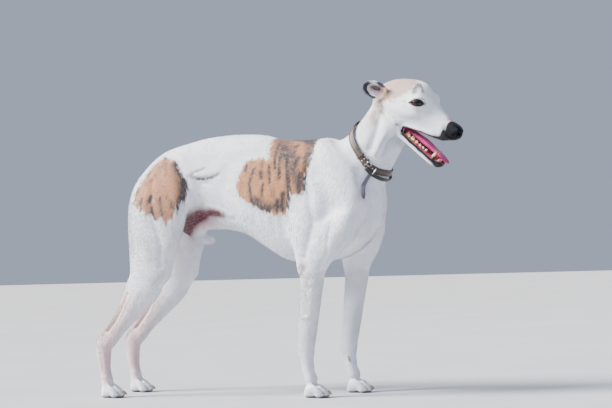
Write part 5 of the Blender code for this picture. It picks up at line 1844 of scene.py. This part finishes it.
class GREYHOUND_OT_collar(bpy.types.Operator):
    """Leather band with stitches and buckle, steel ring, lower strap and its hanging end"""
    bl_idname = "greyhound.collar"
    bl_label = "Collar"

    def execute(self, context):
        collar = context.scene.greyhound_collar
        leather = leather_material("brown_leather", collar.leather, collar.pale_leather)
        dark = leather_material("black_leather", collar.dark, linear("3C3640"))
        grey = leather_material("grey_strap_back", collar.strap, linear("6E6576"))
        thread = thread_material("linen_thread", collar)
        steel = steel_material("nickel_plate", collar)
        finish_piece(band_shape(collar), leather, "collar_leather", "collar_band")
        finish_piece(stitches(collar, thread), thread, "collar_leather")
        finish_piece(keeper(collar), leather, "collar_leather")
        finish_piece(buckle(), steel, "collar_steel")
        finish_piece(half_ring(), steel, "collar_steel", "collar_ring")
        finish_piece(lower_strap(), dark, "collar_leather", "collar_loop")
        finish_piece(hanging_strap(), grey, "collar_leather", "collar_strap_end")
        return {"FINISHED"}


def node_tree_of(name):
    """A solid's own surface, to lay the collar on."""
    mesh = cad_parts[name].data
    return BVHTree.FromPolygons(
        [vertex.co for vertex in mesh.vertices], [tuple(face.vertices) for face in mesh.polygons]
    )

BAND = node_tree_of("collar_band")


def pale_leather(obj, paleness):
    """The same object, with how pale its leather is at each point."""
    store(obj.data, "paleness", np.zeros(len(obj.data.vertices)) + paleness)
    return obj


def band_place(angle, level):
    """A point on the outer face of the solid band, with directions outwards and up the neck."""
    inside = np.clip(level, -BAND_EDGE, BAND_EDGE)
    start, out, up = collar_axis(angle, inside)
    hit = BAND.ray_cast(start + out * 0.3, -out)[0]
    if hit is None:
        raise RuntimeError("the collar's band was missed")
    return hit + up * (COLLAR_WIDTH * (level - inside)), out, up


def band_frames(level, outward):
    """Places along the band, each with its directions across and outwards."""
    frames = []
    for i in range(BAND_STEPS):
        angle = 2 * pi * i / BAND_STEPS
        place, out, _ = band_place(angle, level)
        across = (band_place(angle, level + 0.25)[0] - band_place(angle, level - 0.25)[0]).normalized()
        out = (out - across * out.dot(across)).normalized()
        frames.append((place + out * outward, across, out))
    return frames


def closed_strap(name, frames, section):
    """A strap whose last frame joins its first."""
    body = bmesh.new()
    loops = [[body.verts.new(p + a * y + o * z) for y, z in section] for p, a, o in frames]
    bridge(body, loops + loops[:1])
    bmesh.ops.recalc_face_normals(body, faces=body.faces)
    made = object_from_bmesh(name, body)
    middle = np.tile([abs(y) for y, _ in section], len(loops))
    return pale_leather(made, np.clip(1 - middle / (COLLAR_WIDTH * 0.34), 0, 1))


def band_shape(collar):
    section = strap_section(COLLAR_WIDTH, collar.thickness, 0.0008, 14)
    return closed_strap("collar_leather_band", band_frames(0.0, -collar.thickness), section)


def stitches(collar, finish):
    """Two rows of stitches round the band, set out by Geometry Nodes along its edges."""
    body = bmesh.new()
    outs = []
    for level in (-0.37, 0.37):
        frames = band_frames(level, 0.0003)
        row = [body.verts.new(place) for place, _, _ in frames]
        outs += [out for _, _, out in frames]
        for i, vertex in enumerate(row):
            body.edges.new((vertex, row[(i + 1) % len(row)]))
    path = object_from_bmesh("collar_stitches", body)
    store(path.data, "out", np.array(outs))
    length = Matrix.Diagonal((collar.stitch * 0.36, STITCH_RADIUS, STITCH_RADIUS, 1.0))
    template = sphere("stitch_template", 8, 6, place=length)
    tree, source, identifier = geometry_tree("stitch_rows", "Spacing")
    curve = add(tree, "GeometryNodeMeshToCurve", {"Mesh": source[0]})
    spacing = {"Curve": curve, "Length": source["Spacing"]}
    even = add(tree, "GeometryNodeResampleCurve", spacing, mode="LENGTH")
    outward = add(tree, "GeometryNodeInputNamedAttribute", {"Name": "out"}, data_type="FLOAT_VECTOR")
    tangent = add(tree, "GeometryNodeInputTangent", {})
    along = add(tree, "FunctionNodeAlignRotationToVector", {"Vector": tangent}, axis="X")
    stand = add(tree, "FunctionNodeAlignRotationToVector", {
        "Rotation": along, "Vector": outward,
    }, axis="Z", pivot_axis="X")
    placed = add(tree, "GeometryNodeInstanceOnPoints", {
        "Points": even,
        "Instance": add(tree, "GeometryNodeObjectInfo", {"Object": template}, "Geometry"),
        "Rotation": stand,
    })
    apply_tree(path, tree, identifier, collar.stitch, placed, finish)
    remove(template)
    return path


def keeper(collar):
    """The leather keeper that holds the strap's end against the band beside the buckle."""
    pieces = []
    half, thick = COLLAR_WIDTH / 2 + 0.0012, collar.thickness + 0.0012
    for degrees, length in ((BUCKLE_ANGLE - 7.0, 0.0060), (BUCKLE_ANGLE - 26.0, 0.0050)):
        place, out, up = band_place(radians(degrees), 0.0)
        along = out.cross(up).normalized()
        frames = []
        for k in range(40):
            across, rise = squircle(2 * pi * k / 40, 6.0)
            centre = place - out * (collar.thickness * 0.5) + up * across * half + out * rise * thick * 0.75
            frames.append((centre, along, (up * across + out * rise).normalized()))
        pieces.append(closed_strap("keeper", frames, strap_section(length, 0.0016, 0.0002, 6)))
    return pale_leather(join("collar_keepers", pieces), 0.35)


def buckle():
    """A steel frame with its prong, and two rivets."""
    place, out, up = band_place(radians(BUCKLE_ANGLE), 0.0)
    along = up.cross(out).normalized()
    path = []
    for k in range(49):
        across, rise = squircle(2 * pi * k / 48, 5.0)
        spot = place + up * (rise * (COLLAR_WIDTH / 2 + 0.0012)) + along * (across * 0.0062)
        path.append(spot + out * (0.0010 + 0.0008 * across))
    pieces = [rod("frame", path, 0.0010, 12)]
    prong = []
    for t in np.linspace(-1.0, 1.1, 14):
        prong.append(place + along * (0.0066 * t) + out * (0.0022 + 0.0010 * sin(pi * (t + 1) / 2)))
    pieces.append(rod("prong", prong, [0.0011] * 13 + [0.0005], 10))
    for degrees, level in ((-15.0, 0.20), (-15.0, -0.20), (12.0, 0.0)):
        spot, face, _ = band_place(radians(BUCKLE_ANGLE + degrees), level)
        turn = face.to_track_quat("Z", "Y").to_matrix().to_4x4()
        head = Matrix.Translation(spot + face * 0.0006) @ turn @ Matrix.Diagonal((1.0, 1.0, 0.5, 1.0))
        pieces.append(sphere("rivet", 16, 10, 0.0021, head))
    return join("collar_buckle", pieces)


def half_ring():
    """The half ring that stands on the band's outer face."""
    place, out, up = band_place(radians(RING_ANGLE), -0.25)
    path = []
    for angle in np.linspace(-0.12, pi + 0.12, 40):
        path.append(place + up * cos(angle) * RING_RADIUS + out * (sin(angle) * RING_RADIUS * 0.75 - 0.001))
    return rod("collar_half_ring", path, RING_WIRE, 16)


def lower_strap():
    """The lower strap, which slings under the throat from one side of the band to the other."""
    frames = []
    for part in np.linspace(0.0, 1.0, 72):
        sag = sin(pi * part)
        place, out, up = band_place(radians(LOOP_START + LOOP_SWEEP * part), -0.40)
        frames.append((place + out * (0.0012 + 0.004 * sag) - up * (LOOP_SAG * sag), up, out))
    section = strap_section(LOOP_WIDTH, LOOP_THICKNESS, 0.0004)
    return pale_leather(flat_tube("collar_lower_strap", frames, section), 0.25)


def hanging_strap():
    """The strap's free end, which hangs on the front of the near shoulder."""
    trees = [node_tree_of("torso"), node_tree_of("neck")]
    look = Vector((0.37, -0.93, 0.0))
    aside = Vector((0.93, 0.37, 0.0))
    frames = []
    for part, middle in zip(np.linspace(0.0, 1.0, 36), smooth_curve(STRAP_PATH, 36)):
        start = Vector(middle) + look * 0.2
        depth = min(hit[3] for hit in [tree.ray_cast(start, -look) for tree in trees] if hit[0])
        narrowing = 1 - 0.55 * max(part - 0.86, 0) / 0.14
        frames.append((start - look * (depth - 0.0024), aside * narrowing, look))
    section = strap_section(STRAP_WIDTH, STRAP_THICKNESS, 0.0003)
    made = flat_tube("collar_strap_tongue", frames, section)
    # Darker on its lowest few centimetres: painted shade.
    return pale_leather(made, 1 - soft_step(-points_of(made.data)[:, 2], -0.560, -0.540))


def leather_material(name, dark, light):
    """Harness leather: fine grain and creases, paler on its raised middle; the dark lower end of the hanging
    strap is painted shade.
    """
    made, tree = new_material(name)
    pebble = pebbles(tree, 0.0016, (0.0, 0.25))
    scuff = grains(tree, 0.005, detail=5.0, rough=0.65)
    # The light colour comes in with the value stored on each piece: the band's raised middle is paler, and
    # the hanging strap's dark lower end is painted shade.
    colour = layered(tree, dark, (light, "paleness", (scuff, 0.30, 0.62, 0.25, 1.0)))
    return shaded(made, {
        "Base Color": layered(tree, layered(tree, colour, (dark, 0.5)), (colour, pebble, 0.35)),
        "Roughness": product(tree, (scuff, 0.3, 0.7, 0.36, 0.58)),
    }, pebble, 0.4, 0.0003)


def thread_material(name, collar):
    """Waxed linen thread: pale, twisted and matt."""
    made, tree = new_material(name)
    colour = layered(tree, collar.thread, (linear("8F8069"), (grains(tree, 0.0006), 0.3, 0.7)))
    return shaded(made, {"Base Color": colour, "Roughness": 0.7})


def floor_material(name, stage):
    """Plain matt studio floor, barely mottled, that shows only the soft shadow."""
    made, tree = new_material(name)
    colour = layered(tree, stage.floor, (linear("B3B5BA"), (grains(tree, 0.4), 0.3, 0.7)))
    return shaded(made, {"Base Color": colour, "Roughness": 0.75})


def steel_material(name, collar):
    """Nickel plate dulled by use: mirror-like with fine scratches that blur it here and there."""
    made, tree = new_material(name)
    scratch = grains(tree, 0.0012, (1.0, 0.2, 1.0), 4.0)
    return shaded(made, {
        "Base Color": collar.steel, "Metallic": 1.0,
        "Roughness": product(tree, (scratch, 0.3, 0.7, 0.16, 0.34)),
    })


class GREYHOUND_OT_stage(bpy.types.Operator):
    """Floor, soft lights and the camera"""
    bl_idname = "greyhound.stage"
    bl_label = "Stage"

    def execute(self, context):
        stage = context.scene.greyhound_stage
        body = bmesh.new()
        bmesh.ops.create_grid(body, x_segments=8, y_segments=8, size=12.0)
        floor = object_from_bmesh("floor", body)
        floor.data.materials.append(floor_material("matt_studio_floor", stage))
        lights = (
            ("key", "SUN", (-2.9, -1.2, 2.8), stage.key_power, linear("FFFAF2")),
            ("front", "AREA", (0.4, -3.2, 3.6), stage.fill_power, linear("DCE7FF")),
            ("back", "AREA", (0.6, 3.4, 3.4), stage.fill_power * 0.5, linear("DCE7FF")),
        )
        for name, kind, place, power, colour in lights:
            lamp = bpy.data.lights.new(name, kind)
            if kind == "SUN":
                lamp.angle = radians(24)
            else:
                lamp.size = 3.0
            lamp.energy = power
            lamp.color = colour[:3]
            holder = bpy.data.objects.new(name, lamp)
            holder.location = place
            aim = Vector((0, 0, 0.45)) - Vector(place)
            holder.rotation_euler = aim.to_track_quat("-Z", "Y").to_euler()
            context.scene.collection.objects.link(holder)
        world = bpy.data.worlds.new("studio")
        world.use_nodes = True
        connect(world.node_tree, world.node_tree.nodes["Background"], {"Color": stage.air, "Strength": 0.62})
        context.scene.world = world
        place_camera(context.scene)
        return {"FINISHED"}


def place_camera(scene):
    camera = bpy.data.cameras.new("camera")
    camera.sensor_width = 36.0
    camera.lens = CAMERA_LENS
    camera.clip_end = 100.0
    holder = bpy.data.objects.new("camera", camera)
    scene.collection.objects.link(holder)
    forward = (Vector(CAMERA_AIM) - Vector(CAMERA_PLACE)).normalized()
    level = forward.cross(Vector((0, 0, 1))).normalized()
    rise = level.cross(forward)
    roll = radians(CAMERA_ROLL)
    right = level * cos(roll) + rise * sin(roll)
    up = rise * cos(roll) - level * sin(roll)
    turn = Matrix((right, up, -forward)).transposed().to_4x4()
    holder.matrix_world = Matrix.Translation(CAMERA_PLACE) @ turn
    scene.camera = holder


class GREYHOUND_PT_panel(bpy.types.Panel):
    """Sizes, colours and steps of the greyhound"""
    bl_label = "Greyhound"
    bl_idname = "GREYHOUND_PT_panel"
    bl_space_type = "VIEW_3D"
    bl_region_type = "UI"
    bl_category = "Greyhound"

    def draw(self, context):
        for group in GROUPS:
            box = self.layout.box()
            values = getattr(context.scene, group)
            for name in values.__class__.__annotations__:
                box.prop(values, name)
        for operator in OPERATORS:
            self.layout.operator(operator.bl_idname)


GROUPS = {
    "greyhound_coat": GREYHOUND_PG_coat,
    "greyhound_head": GREYHOUND_PG_head,
    "greyhound_collar": GREYHOUND_PG_collar,
    "greyhound_stage": GREYHOUND_PG_stage,
}
OPERATORS = [
    GREYHOUND_OT_body_skin,
    GREYHOUND_OT_head_skin,
    GREYHOUND_OT_coat,
    GREYHOUND_OT_eyes,
    GREYHOUND_OT_nose,
    GREYHOUND_OT_mouth,
    GREYHOUND_OT_claws,
    GREYHOUND_OT_collar,
    GREYHOUND_OT_stage,
]
CLASSES = [*GROUPS.values(), *OPERATORS, GREYHOUND_PT_panel]


def register():
    for item in CLASSES:
        bpy.utils.register_class(item)
    for name, group in GROUPS.items():
        setattr(bpy.types.Scene, name, bpy.props.PointerProperty(type=group))


def unregister():
    for name in GROUPS:
        delattr(bpy.types.Scene, name)
    for item in reversed(CLASSES):
        bpy.utils.unregister_class(item)


def main():
    register()
    bpy.ops.greyhound.stage()
    bpy.ops.greyhound.body_skin()
    bpy.ops.greyhound.head_skin()
    bpy.ops.greyhound.coat()
    bpy.ops.greyhound.eyes()
    bpy.ops.greyhound.nose()
    bpy.ops.greyhound.mouth()
    bpy.ops.greyhound.claws()
    bpy.ops.greyhound.collar()


if __name__ == "__main__":
    main()
